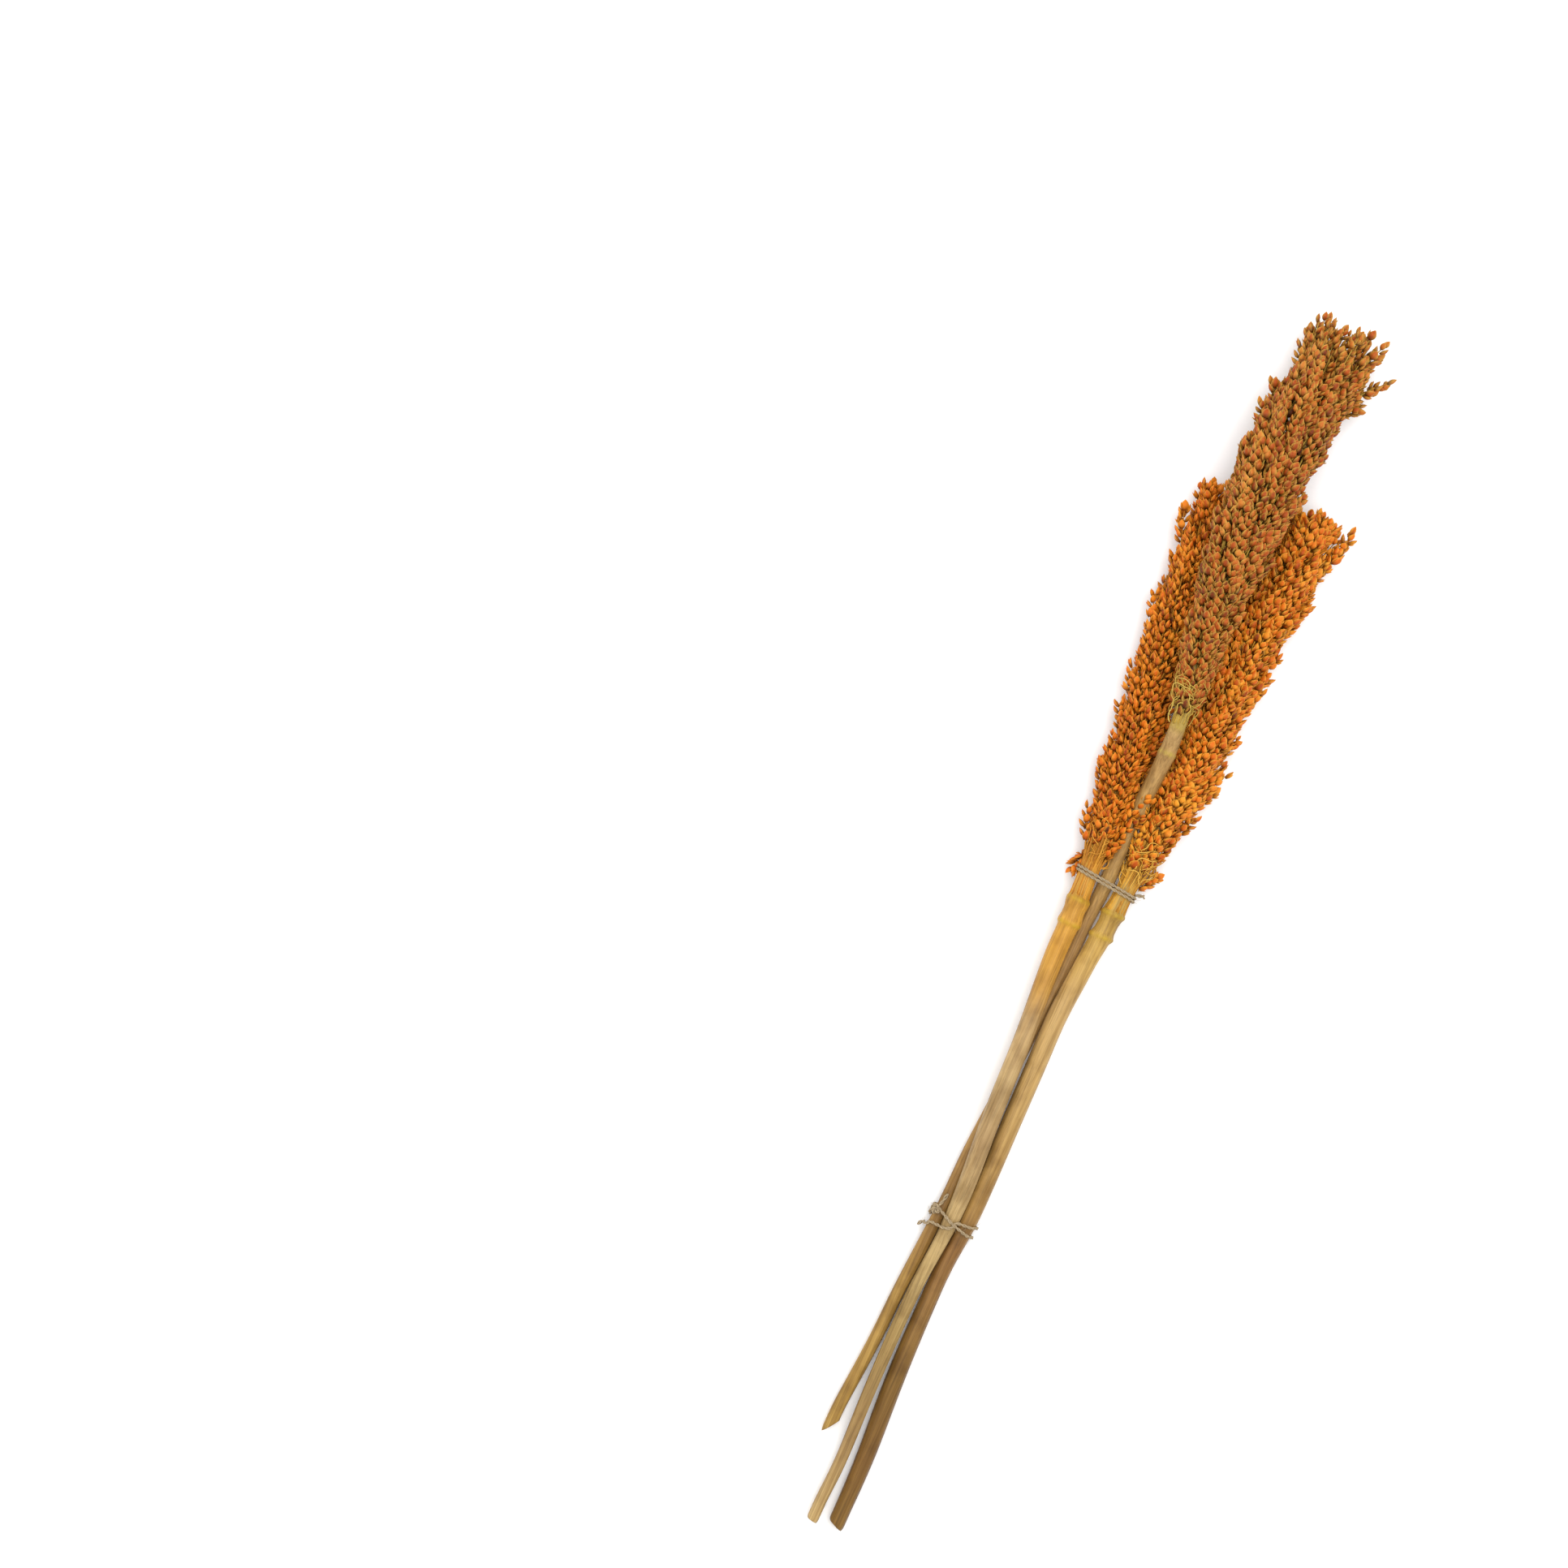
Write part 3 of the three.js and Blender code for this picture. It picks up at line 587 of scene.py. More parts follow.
def node(tree, kind, links=(), **settings):
    """A node with its settings, and links given as (own input, other node's output)."""
    made = tree.nodes.new(kind)
    for key, value in settings.items():
        if key in made.inputs:
            made.inputs[key].default_value = value
        else:
            setattr(made, key, value)
    for own, other in links:
        tree.links.new(other, made.inputs[own])
    return made


def value_of(tree, name):
    """The named value of a piece's points."""
    return node(tree, "ShaderNodeAttribute", attribute_name=name).outputs["Fac"]


def ramp(tree, source, stops):
    """A colour ramp over a source, with stops of (place, screen colour)."""
    made = node(tree, "ShaderNodeValToRGB", [("Fac", source)])
    line = made.color_ramp
    while len(line.elements) < len(stops):
        line.elements.new(0.5)
    for element, (place, colour) in zip(line.elements, stops):
        element.position = place
        element.color = from_screen(*colour)
    return made.outputs["Color"]


def mixed(tree, share, first, second, mode="MIX"):
    """Two colours mixed by a share, which is a number or a socket."""
    made = node(tree, "ShaderNodeMix", data_type="RGBA", blend_type=mode)
    for socket, value in ((0, share), (6, first), (7, second)):
        if isinstance(value, bpy.types.NodeSocket):
            tree.links.new(value, made.inputs[socket])
        else:
            made.inputs[socket].default_value = value
    return made.outputs[2]


def mathed(tree, operation, first, second):
    """A Math node on two numbers or sockets."""
    made = node(tree, "ShaderNodeMath", operation=operation)
    for socket, value in ((0, first), (1, second)):
        if isinstance(value, bpy.types.NodeSocket):
            tree.links.new(value, made.inputs[socket])
        else:
            made.inputs[socket].default_value = value
    return made.outputs[0]


# %% The husk finish of each head
# Each ramp runs over the husks' own tones; its dark low end is painted shade, taken by the deeper husks.
HUSK_TONES_AND_SHADE = {
    "left": [(0.0, (70, 24, 1)), (0.25, (158, 62, 3)), (0.6, (198, 93, 7)), (1.0, (213, 129, 28))],
    "middle": [(0.0, (52, 22, 2)), (0.25, (122, 47, 4)), (0.6, (161, 69, 11)), (1.0, (188, 112, 40))],
    "right": [(0.0, (76, 28, 1)), (0.25, (164, 66, 3)), (0.6, (202, 97, 9)), (1.0, (215, 137, 32))],
}
RIM_COLOURS = {"left": (212, 142, 38), "middle": (186, 146, 58), "right": (216, 154, 48)}
# Painted shade at each husk's foot, where the husks overlap and shade one another.
FOOT_SHADE_COLOURS = {"left": (58, 20, 1), "middle": (42, 22, 2), "right": (64, 25, 1)}
STALK_COLOURS = {
    "left": [(0.0, (132, 78, 14)), (0.5, (184, 122, 34)), (1.0, (206, 150, 56))],
    "middle": [(0.0, (116, 84, 26)), (0.5, (168, 134, 50)), (1.0, (196, 168, 82))],
    "right": [(0.0, (136, 86, 18)), (0.5, (190, 136, 42)), (1.0, (210, 164, 70))],
}


def husk_finish(name):
    """Husks and stalks of one head, with painted shade on the husks' feet and on the deeper husks."""
    finish, tree, shader = new_finish(f"{name}_head_husks", 0.55)
    place = node(tree, "ShaderNodeTexCoord").outputs["Object"]
    mottle = node(tree, "ShaderNodeTexNoise", [("Vector", place)], Scale=900.0, Detail=3.0)
    shade = mathed(tree, "ADD", value_of(tree, "shade"),
                   mathed(tree, "MULTIPLY", mathed(tree, "SUBTRACT", mottle.outputs["Fac"], 0.5), 0.5))
    husk = ramp(tree, shade, HUSK_TONES_AND_SHADE[name])
    rim = mathed(tree, "MULTIPLY", value_of(tree, "rim"), 0.85)
    husk = mixed(tree, rim, husk, from_screen(*RIM_COLOURS[name]))
    # Painted shade: the feet of the husks are darkened towards these colours.
    foot = mathed(tree, "MULTIPLY", value_of(tree, "foot"), 0.85)
    husk = mixed(tree, foot, husk, from_screen(*FOOT_SHADE_COLOURS[name]))
    colour = mixed(tree, value_of(tree, "stalk"), husk, ramp(tree, shade, STALK_COLOURS[name]))
    tree.links.new(colour, shader.inputs["Base Color"])
    bump = node(tree, "ShaderNodeBump", [("Height", mottle.outputs["Fac"])], Strength=0.25, Distance=0.0003)
    tree.links.new(bump.outputs["Normal"], shader.inputs["Normal"])
    return finish


husk_finishes = {name: husk_finish(name) for name in HEADS}
print("husk finishes:", ", ".join(f.name for f in husk_finishes.values()))

# %% Grow the heads
# The inner layer lies this deep under the outer one, and takes painted shade from its depth.
INNER_DEPTH = 4.5 * MM
# The number of husks on one spray of each layer, and of those that stand off.
OUTER_HUSKS, INNER_HUSKS, OPEN_HUSKS = 12, 9, 15
OPEN_SAG = 1.0 * MM
# How pale the husks of the open sprays are, from 0 to 1.
LOOSE_SHADE = {"left": 0.62, "middle": 0.8, "right": 0.66}


def dress_head(name, seed):
    """Every branch of a head as one piece of husks and stalks, in the place of its CAD branch."""
    rng = np.random.default_rng(seed)
    outer = spray_layout(name, rng, 0, TILE_WIDTH, RING_STEP)
    inner = spray_layout(name, rng, INNER_DEPTH, 1.15 * TILE_WIDTH, 1.2 * RING_STEP)
    feet, tips = open_sprays(name, rng)
    grown = grow_sprays(climbing_path(name, outer), LOOKS[name], OUTER_HUSKS, outer["shade"], rng)
    grown += grow_sprays(climbing_path(name, inner), LOOKS[name], INNER_HUSKS, inner["shade"], rng)
    loose = rng.normal(LOOSE_SHADE[name], 0.1, len(feet))
    grown += grow_sprays(open_path(feet, tips, OPEN_SAG), OPEN_LOOK, OPEN_HUSKS, loose, rng)
    shares = {branch: [] for branch in heads[name]["middles"]}
    for parts, middle in grown:
        shares[nearest_branch(name, middle)] += parts
    total = 0
    for branch, parts in shares.items():
        points, faces, values, flat = joined(parts)
        make_piece(f"{branch}_husks", points, faces, values, flat, husk_finishes[name],
                   [branch])
        total += len(faces)
    print(f"{name} head: {len(grown)} sprays, {total} faces")


for name, seed in (("left", 11), ("middle", 12), ("right", 13)):
    dress_head(name, seed)

# %% [markdown]
# ## Torn strands at the foot of each head
# Just under a head the stem breaks up: the lowest side branches start as flat strands that cling to its
# skin, and the thinnest have dried into curls. The strands climb from the ring on the stem, under the
# twine, and fan out below the first husks. Both kinds are thin tubes on lines worked out on the skin.

# %% Where the rings and the strands sit, from the upper tie
RINGS = {
    "left": (-12.6 * MM, -25.4 * MM),
    "middle": (70.5 * MM, 84.0 * MM),
    "right": (-12.4 * MM, -25.0 * MM),
}
# How many strands there are, and where they begin and end.
STRANDS = {
    "left": (34, -12.6 * MM, 32 * MM),
    "middle": (26, 84.0 * MM, 102 * MM),
    "right": (34, -12.4 * MM, 34 * MM),
}
# How many curls there are, and between which places they begin.
CURLS = {
    "left": (16, 4 * MM, 20 * MM),
    "middle": (30, 84 * MM, 104 * MM),
    "right": (28, 1 * MM, 22 * MM),
}
STRAND_THICK = 0.5 * MM
STRAND_SUNK = 0.5 * MM
CURL_THICK = 0.3 * MM
# How far the curls rise off the skin over the first husks.
CURL_RISE = {"left": 3 * MM, "middle": 3 * MM, "right": 4 * MM}


def tie_place(node_name):
    """The middle of a tie along the bundle, from its CAD node."""
    low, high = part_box(node_name)
    return float(low.y + high.y) / 2


upper_y, lower_y = tie_place("upper_tie"), tie_place("lower_tie")
print(f"ties at y = {1000 * upper_y:.1f} and {1000 * lower_y:.1f} mm")


def on_skin(name, y, angle, lift):
    """Points on a stem's skin, lifted off it by a little."""
    x, z, r = stem_at(name, y)
    return np.stack([x + (r + lift) * np.cos(angle), y, z + (r + lift) * np.sin(angle)], axis=-1)


# %% Lay the strands and the curls
def clinging_strands(name, rng):
    """Flat strands that climb a stem's skin and fan out below the first husks."""
    count, first, last = STRANDS[name]
    t = np.linspace(0, 1, 14)[None]
    start = upper_y + first + rng.uniform(0, 2.5 * MM, (count, 1))
    end = upper_y + last + rng.normal(0, 4 * MM, (count, 1))
    y = start + (end - start) * t
    turn = 2 * math.pi * (np.arange(count)[:, None] + rng.uniform(-0.3, 0.3, (count, 1))) / count
    angle = turn + rng.normal(0, 0.16, (count, 1)) * t
    angle = angle + 0.05 * np.sin(5 * t + rng.uniform(0, 6, (count, 1)))
    clear = np.clip((y - upper_y) / (12 * MM), 0, 1) if first < 0 else t
    lift = -STRAND_SUNK + clear ** 2 * rng.uniform(0.3 * MM, 2.6 * MM, (count, 1))
    thick = STRAND_THICK * rng.uniform(0.6, 1.7, (count, 1)) ** 1.3 * (1 - 0.45 * t)
    lift = lift - 0.5 * (thick - STRAND_THICK)
    return stalks_along(on_skin(name, y, angle, lift), thick, 6, rng.uniform(0.15, 0.95, count))


def loose_curls(name, rng):
    """Thin dry branches that wander over the skin and arch off it."""
    count, first, last = CURLS[name]
    t = np.linspace(0, 1, 20)[None]
    bend = rng.choice([-1, 1], (count, 1)) * rng.uniform(0.2, 2.2, (count, 1))
    heading = rng.normal(0, 0.3, (count, 1)) + bend * t
    heading = heading + 0.6 * np.sin(9 * t + rng.uniform(0, 6, (count, 1)))
    step = rng.uniform(8 * MM, 16 * MM, (count, 1)) / t.size
    y = upper_y + rng.uniform(first, last, (count, 1)) + np.cumsum(np.cos(heading) * step, axis=1)
    reach = stem_at(name, y)[2] + 2 * MM
    angle = rng.uniform(-0.3, 3.4, (count, 1)) + np.cumsum(np.sin(heading) * step, axis=1) / reach
    rise = np.clip((y - upper_y - first) / (30 * MM), 0, 1) * CURL_RISE[name]
    arch = np.sin(math.pi * (0.1 + 0.75 * t))
    lift = CURL_THICK + rise + rng.uniform(0.8 * MM, 3.6 * MM, (count, 1)) * arch
    lines = on_skin(name, y, angle, lift)
    lines[..., 2] = np.maximum(lines[..., 2], 2 * CURL_THICK)
    thick = CURL_THICK * rng.uniform(0.7, 1.2, (count, 1)) * (1 - 0.4 * t)
    return stalks_along(lines, thick, 5, rng.uniform(0.4, 1.0, count))


def collar(name, seed):
    """The clinging strands and loose curls under one head, as one piece."""
    rng = np.random.default_rng(seed)
    parts = [clinging_strands(name, rng)]
    parts.append(loose_curls(name, rng))
    points, faces, values, flat = joined(parts)
    make_piece(f"{name}_head_strands", points, faces, values, flat, husk_finishes[name])
    print(f"{name} collar: {len(faces)} faces")


for seed, name in enumerate(HEADS):
    collar(name, 31 + seed)

# %% [markdown]
# ## The stems
# Sorghum straw is nearly round, finely ridged along its length, with a swollen ring where a leaf once
# grew and a pale pith inside the cut. Each stem is a skin of rings set on its line: ridges run along it,
# drift a little, and meet the rings. The cut end is a rim of hard straw round a sunken, crumbly pith.
# Near the ties the stems are drawn together, so the middle one is set a little aside and fuller there.

# %% Grow a stem
STEM_SIDES = 48
STEM_STEP = 2.0 * MM
# Where a stem is drawn to its neighbours: place from the upper tie (mm), shift aside (mm), added share.
SETTLED = {"left": [], "middle": [(2, 1.0, 0.09), (-208, 0.8, 0.05)], "right": []}
SETTLED_REACH = 26 * MM
# How far inside the CAD stem's end the skin starts.
CUT_INSETS = {"left": -1.5 * MM, "middle": 3 * MM, "right": 2.5 * MM}
RING_HEIGHTS = {"left": 0.75 * MM, "middle": 0.15 * MM, "right": 0.75 * MM}
RING_WIDTH = 1.2 * MM
# How many waves run round the skin, and how high they stand as a share of the radius.
RIDGES = ((2, 0.018), (5, 0.008), (9, 0.008), (14, 0.009), (19, 0.006))
# The first two rings of the skin are drawn in, so that the cut edge is round.
CUT_ROUNDING = (0.86, 0.95)
CUT_LENGTH = 4 * MM
# Rings from the rim into the cut: share of the rim's width, depth (mm), and how much they are pith.
PITH_RINGS = ((0.86, 0.0, 0.3), (0.78, 0.5, 0.9), (0.45, 0.8, 1.0), (0.1, 0.7, 1.0))
# Inside a head the stem takes on the colour of its rings.
TINTED_FROM, TINTED_LENGTH = 80 * MM, 10 * MM
FLAT_STRIPS = 6


def ridges(angle, y, rng):
    """How much a stem swells or sinks round its skin, in shares of its radius."""
    total = np.zeros(np.broadcast(angle, y).shape)
    for waves, height in RIDGES:
        drift = rng.uniform(-6, 6)
        total = total + height * np.sin(waves * angle + rng.uniform(0, 6.3) + drift * y)
    return total


def skin_places(name):
    """The places of a skin's rings along the bundle, closer together at the cut and at the stem's rings."""
    start = stems[name]["first"] + CUT_INSETS[name]
    y = np.arange(start + 3 * MM, stems[name]["last"], STEM_STEP)
    for ring_y in RINGS[name]:
        y = y[np.abs(y - upper_y - ring_y) > 3.2 * MM]
        y = np.sort(np.concatenate([y, upper_y + ring_y + np.arange(-2.8, 2.9, 0.7) * MM]))
    return np.concatenate([start + np.array([0, 0.8, 1.8]) * MM, y])


def skin_faces(rings):
    """The triangles from the middle of the pith out to the rim, along the skin, and over both ends."""
    faces = []
    order = [rings + 3, rings + 2, rings + 1, rings] + list(range(rings))
    for a, b in zip(order[:-1], order[1:]):
        for j in range(STEM_SIDES):
            k = (j + 1) % STEM_SIDES
            faces += [(a * STEM_SIDES + j, b * STEM_SIDES + j, b * STEM_SIDES + k),
                      (a * STEM_SIDES + j, b * STEM_SIDES + k, a * STEM_SIDES + k)]
    for first, flip in ((order[0] * STEM_SIDES, False), ((rings - 1) * STEM_SIDES, True)):
        for j in range(1, STEM_SIDES - 1):
            corner = (first, first + j, first + j + 1)
            faces.append(corner[::-1] if flip else corner)
    return np.array(faces)


def stem_skin(name, slant, rng):
    """The ridged skin and the cut end of one stem."""
    line = stems[name]
    y = skin_places(name)
    x, z, r = stem_at(name, y)
    angle = 2 * math.pi * np.arange(STEM_SIDES) / STEM_SIDES
    swell = 1 + ridges(angle[None], y[:, None], rng) - 0.01
    swell[0] *= CUT_ROUNDING[0]
    swell[1] *= CUT_ROUNDING[1]
    for place, aside, fuller in SETTLED[name]:
        near = np.exp(-(((y - upper_y - place * MM) / SETTLED_REACH) ** 2))
        x = x + aside * MM * near
        r = r * (1 + fuller * near)
    reach = r[:, None] * swell
    banded = np.zeros(reach.shape)
    for ring_y in RINGS[name]:
        rough = 0.62 + 0.38 * np.sin(3 * angle + rng.uniform(0, 6)) * np.sin(7 * angle + rng.uniform(0, 6))
        band = np.exp(-((y - upper_y - ring_y) / RING_WIDTH) ** 2)[:, None] * rough
        reach = reach + RING_HEIGHTS[name] * band
        banded = np.maximum(banded, band)
    tinted = np.clip((y - upper_y - TINTED_FROM) / TINTED_LENGTH, 0, 0.6)
    banded = np.maximum(banded, tinted[:, None])
    px = x[:, None] + reach * np.cos(angle)
    pz = z[:, None] + reach * np.sin(angle)
    py = np.broadcast_to(y[:, None], px.shape).copy()
    cut = np.clip(1 - (y - y[0]) / CUT_LENGTH, 0, 1)[:, None]
    py += cut * slant * (px - x[:, None]) + cut * rng.normal(0, 0.05 * MM, STEM_SIDES)[None]
    points = [np.stack([px, py, pz], axis=-1).reshape(-1, 3)]
    pith = [np.zeros(px.size)]
    middle = np.array([x[0], y[0], z[0]])
    rim = points[0][:STEM_SIDES]
    for share, depth, inner in PITH_RINGS:
        ring = middle + (rim - middle) * share
        ring[:, 1] += depth * MM + rng.normal(0, 0.1 * MM, STEM_SIDES) * inner
        points.append(ring)
        pith.append(np.full(STEM_SIDES, inner))
    points = np.vstack(points)
    pith = np.concatenate(pith)
    along = (points[:, 1] - line["first"]) / (line["last"] - line["first"])
    turn = np.tile(np.arange(STEM_SIDES) / STEM_SIDES, len(y) + len(PITH_RINGS))
    strip = np.floor(np.clip(along, 0, 0.999) * FLAT_STRIPS)
    flat = np.stack([(strip + turn * 0.94 + 0.03) / FLAT_STRIPS,
                     np.clip(along * FLAT_STRIPS - strip, 0, 1)], axis=-1)
    plain = np.zeros(len(PITH_RINGS) * STEM_SIDES)
    values = {"pith": pith, "ring": np.concatenate([banded.ravel(), plain])}
    return points, skin_faces(len(y)), values, flat


# %% The straw finish
STRAW_TONES = {
    "left": [(0.0, (200, 168, 112)), (0.08, (162, 130, 82)), (0.19, (178, 149, 92)), (0.28, (191, 162, 109)),
             (0.38, (170, 139, 94)), (0.44, (193, 162, 111)), (0.5, (185, 151, 101)), (0.53, (204, 154, 74)),
             (0.57, (224, 166, 67)), (0.62, (211, 156, 62)), (1.0, (200, 145, 59))],
    "middle": [(0.0, (180, 143, 74)), (0.13, (176, 139, 72)), (0.18, (159, 121, 64)), (0.47, (187, 146, 88)),
               (0.51, (190, 152, 90)), (0.6, (182, 142, 83)), (0.63, (187, 148, 91)), (0.65, (197, 160, 104)),
               (0.67, (192, 162, 92)), (1.0, (170, 136, 70))],
    "right": [(0.0, (134, 100, 46)), (0.07, (121, 86, 39)), (0.15, (127, 94, 42)), (0.2, (142, 106, 54)),
              (0.28, (141, 101, 54)), (0.32, (178, 139, 77)), (0.42, (188, 152, 92)), (0.52, (192, 156, 98)),
              (0.57, (198, 159, 84)), (0.61, (190, 152, 73)), (1.0, (190, 142, 60))],
}
RING_COLOURS = {"left": (176, 142, 34), "middle": (170, 146, 62), "right": (176, 142, 34)}


def straw_finish(name):
    """Ridged straw whose tone changes along the stem, with fibres, stains and a pale pith."""
    finish, tree, shader = new_finish(f"{name}_straw", 0.42)
    place = node(tree, "ShaderNodeTexCoord").outputs["Object"]
    parts = node(tree, "ShaderNodeSeparateXYZ", [("Vector", place)])
    line = stems[name]
    along = node(tree, "ShaderNodeMapRange", [("Value", parts.outputs["Y"])])
    along.inputs["From Min"].default_value = line["first"]
    along.inputs["From Max"].default_value = line["last"]
    tone = ramp(tree, along.outputs["Result"], STRAW_TONES[name])
    stretched = node(tree, "ShaderNodeMapping", [("Vector", place)])
    stretched.inputs["Scale"].default_value = (1.0, 0.012, 1.0)
    fibre = node(tree, "ShaderNodeTexNoise", [("Vector", stretched.outputs["Vector"])],
                 Scale=1500.0, Detail=4.0, Roughness=0.65)
    streak = node(tree, "ShaderNodeTexNoise", [("Vector", stretched.outputs["Vector"])],
                  Scale=420.0, Detail=2.0)
    stain = node(tree, "ShaderNodeTexNoise", [("Vector", place)], Scale=60.0, Detail=4.0)
    dark = ramp(tree, fibre.outputs["Fac"],
                [(0.3, (150, 150, 150)), (0.5, (228, 228, 228)), (0.7, (255, 255, 255))])
    colour = mixed(tree, 0.6, tone, dark, "MULTIPLY")
    broad = ramp(tree, streak.outputs["Fac"], [(0.35, (200, 190, 174)), (0.6, (255, 255, 255))])
    colour = mixed(tree, 0.7, colour, broad, "MULTIPLY")
    blot = ramp(tree, stain.outputs["Fac"], [(0.35, (196, 186, 170)), (0.55, (255, 255, 255))])
    colour = mixed(tree, 0.6, colour, blot, "MULTIPLY")
    ring = mathed(tree, "MULTIPLY", value_of(tree, "ring"), 0.85)
    colour = mixed(tree, ring, colour, from_screen(*RING_COLOURS[name]))
    colour = mixed(tree, value_of(tree, "pith"), colour, from_screen(200, 176, 128))
    tree.links.new(colour, shader.inputs["Base Color"])
    bump = node(tree, "ShaderNodeBump", [("Height", fibre.outputs["Fac"])], Strength=0.5, Distance=0.0004)
    tree.links.new(bump.outputs["Normal"], shader.inputs["Normal"])
    return finish


# %% Set the stems in place
# How far each cut slopes: rise along the stem for each step to the right.
CUT_SLANTS = {"left": -0.2, "middle": 1.3, "right": -0.4}
straw_finishes = {name: straw_finish(name) for name in HEADS}
for seed, name in enumerate(HEADS):
    points, faces, values, flat = stem_skin(name, CUT_SLANTS[name], np.random.default_rng(40 + seed))
    make_piece(f"{name}_straw", points, faces, values, flat, straw_finishes[name],
               [f"{name}_stem"])
    print(f"{name} stem: {len(faces)} faces")

# %% [markdown]
# ## The twine
# The ties are two-ply twine: two strands laid round each other, with stray fibres standing off. The line
# a taut cord takes round the stems is their common outline, found by asking for each direction which
# stem reaches furthest. The strands then wind about that line, a little slimmer than the CAD cord.

# %% The line of a cord round the stems
TWINE_RADIUS = 0.8 * MM
TWINE_GAP = 0.25 * MM


def wrap_point(y, angle, lift=0.0):
    """The middle of the twine where it faces one direction across the bundle."""
    way = np.array([math.cos(angle), math.sin(angle)])
    best = None
    for name in HEADS:
        x, z, r = (float(v) for v in stem_at(name, y))
        spot = np.array([x, z]) + (r + TWINE_GAP + TWINE_RADIUS + lift) * way
        if best is None or spot @ way > best @ way:
            best = spot
    return np.array([best[0], y, best[1]])


def evenly(points, step, reach):
    """A line through points, divided evenly and softened."""
    points = np.asarray(points, float)
    run = np.concatenate([[0], np.cumsum(np.linalg.norm(np.diff(points, axis=0), axis=1))])
    keep = np.concatenate([[True], np.diff(run) > 1e-7])
    points, run = points[keep], run[keep]
    at = np.linspace(0, run[-1], max(4, round(run[-1] / step)))
    line = np.stack([np.interp(at, run, points[:, k]) for k in range(3)], axis=1)
    return np.stack([softened(line[:, k], reach) for k in range(3)], axis=1)


# %% Lay two strands round a line
# A ply goes round once in this length, and a free end comes apart over the fray length.
PLY_TURN = 6.2 * MM
FRAY_LENGTH = 1.5 * MM
HAIR_SPACING = 0.9 * MM


def strands_of(line, rng, tail_spread=(0, 0)):
    """Two plies wound about a line, with stray fibres, as arrays for one piece."""
    ahead = np.gradient(line, axis=0)
    ahead /= np.linalg.norm(ahead, axis=1, keepdims=True)
    aside = np.zeros_like(line)
    aside[0] = np.cross(ahead[0], [0.0, 1.0, 0.05])
    for i in range(len(line)):
        last = aside[max(i - 1, 0)]
        aside[i] = last - (last @ ahead[i]) * ahead[i]
        aside[i] /= np.linalg.norm(aside[i])
    above = np.cross(ahead, aside)
    run = np.concatenate([[0], np.cumsum(np.linalg.norm(np.diff(line, axis=0), axis=1))])
    loose = (1 + tail_spread[0] * np.exp(-run / FRAY_LENGTH)
             + tail_spread[1] * np.exp((run - run[-1]) / FRAY_LENGTH))
    parts = []
    for ply in (0, 1):
        turn = run / PLY_TURN * 2 * math.pi + ply * math.pi
        away = 0.47 * TWINE_RADIUS * loose[:, None]
        ply_line = line + away * (np.cos(turn)[:, None] * aside + np.sin(turn)[:, None] * above)
        bulk = 0.53 * TWINE_RADIUS * (1 + 0.06 * softened(rng.normal(0, 1, len(line)), 3))
        parts.append(stalks_along([ply_line], [bulk], 9, 0.3 + 0.3 * ply))
    count = int(run[-1] / HAIR_SPACING)
    at = rng.integers(2, len(line) - 2, count)
    turn = rng.uniform(0, 2 * math.pi, count)
    off = np.cos(turn)[:, None] * aside[at] + np.sin(turn)[:, None] * above[at]
    hair = line[at] + 0.9 * TWINE_RADIUS * off
    lean = rng.normal(0, 1, (count, 3)) * 0.5 + off + ahead[at] * rng.choice([-1, 1], (count, 1))
    length = rng.uniform(0.8, 2.6, count)[:, None] * MM
    curl = rng.normal(0, 0.5, (count, 3))
    lines = np.stack([hair, hair + 0.5 * length * lean / 1.5,
                      hair + length * (lean / 1.5 + 0.25 * curl)], axis=1)
    lines[:, :, 2] = np.maximum(lines[:, :, 2], FLOOR_CLEAR)
    thin = np.broadcast_to([0.055 * MM, 0.045 * MM, 0.02 * MM], (count, 3))
    parts.append(stalks_along(lines, thin, 3, 0.8))
    return parts


# %% The twine finish
def twine_finish():
    """Grey-tan bast fibre: fine streaks along the plies, matt and hairy."""
    finish, tree, shader = new_finish("twine_fibre", 0.9)
    shader.inputs["Specular IOR Level"].default_value = 0.12
    place = node(tree, "ShaderNodeTexCoord").outputs["Object"]
    fibre = node(tree, "ShaderNodeTexNoise", [("Vector", place)], Scale=2600.0, Detail=4.0)
    tone = ramp(tree, fibre.outputs["Fac"],
                [(0.25, (96, 80, 58)), (0.5, (156, 136, 106)), (0.75, (194, 176, 146))])
    share = mathed(tree, "MULTIPLY", value_of(tree, "shade"), 0.4)
    light = mixed(tree, share, tone, from_screen(174, 154, 122))
    tree.links.new(light, shader.inputs["Base Color"])
    bump = node(tree, "ShaderNodeBump", [("Height", fibre.outputs["Fac"])], Strength=0.7, Distance=0.0004)
    tree.links.new(bump.outputs["Normal"], shader.inputs["Normal"])
    return finish


twine = twine_finish()

# %% Wind the upper tie
CORD_STEP = 0.45 * MM
# How much the turns slope across the bundle.
TIE_LEAN = -0.105


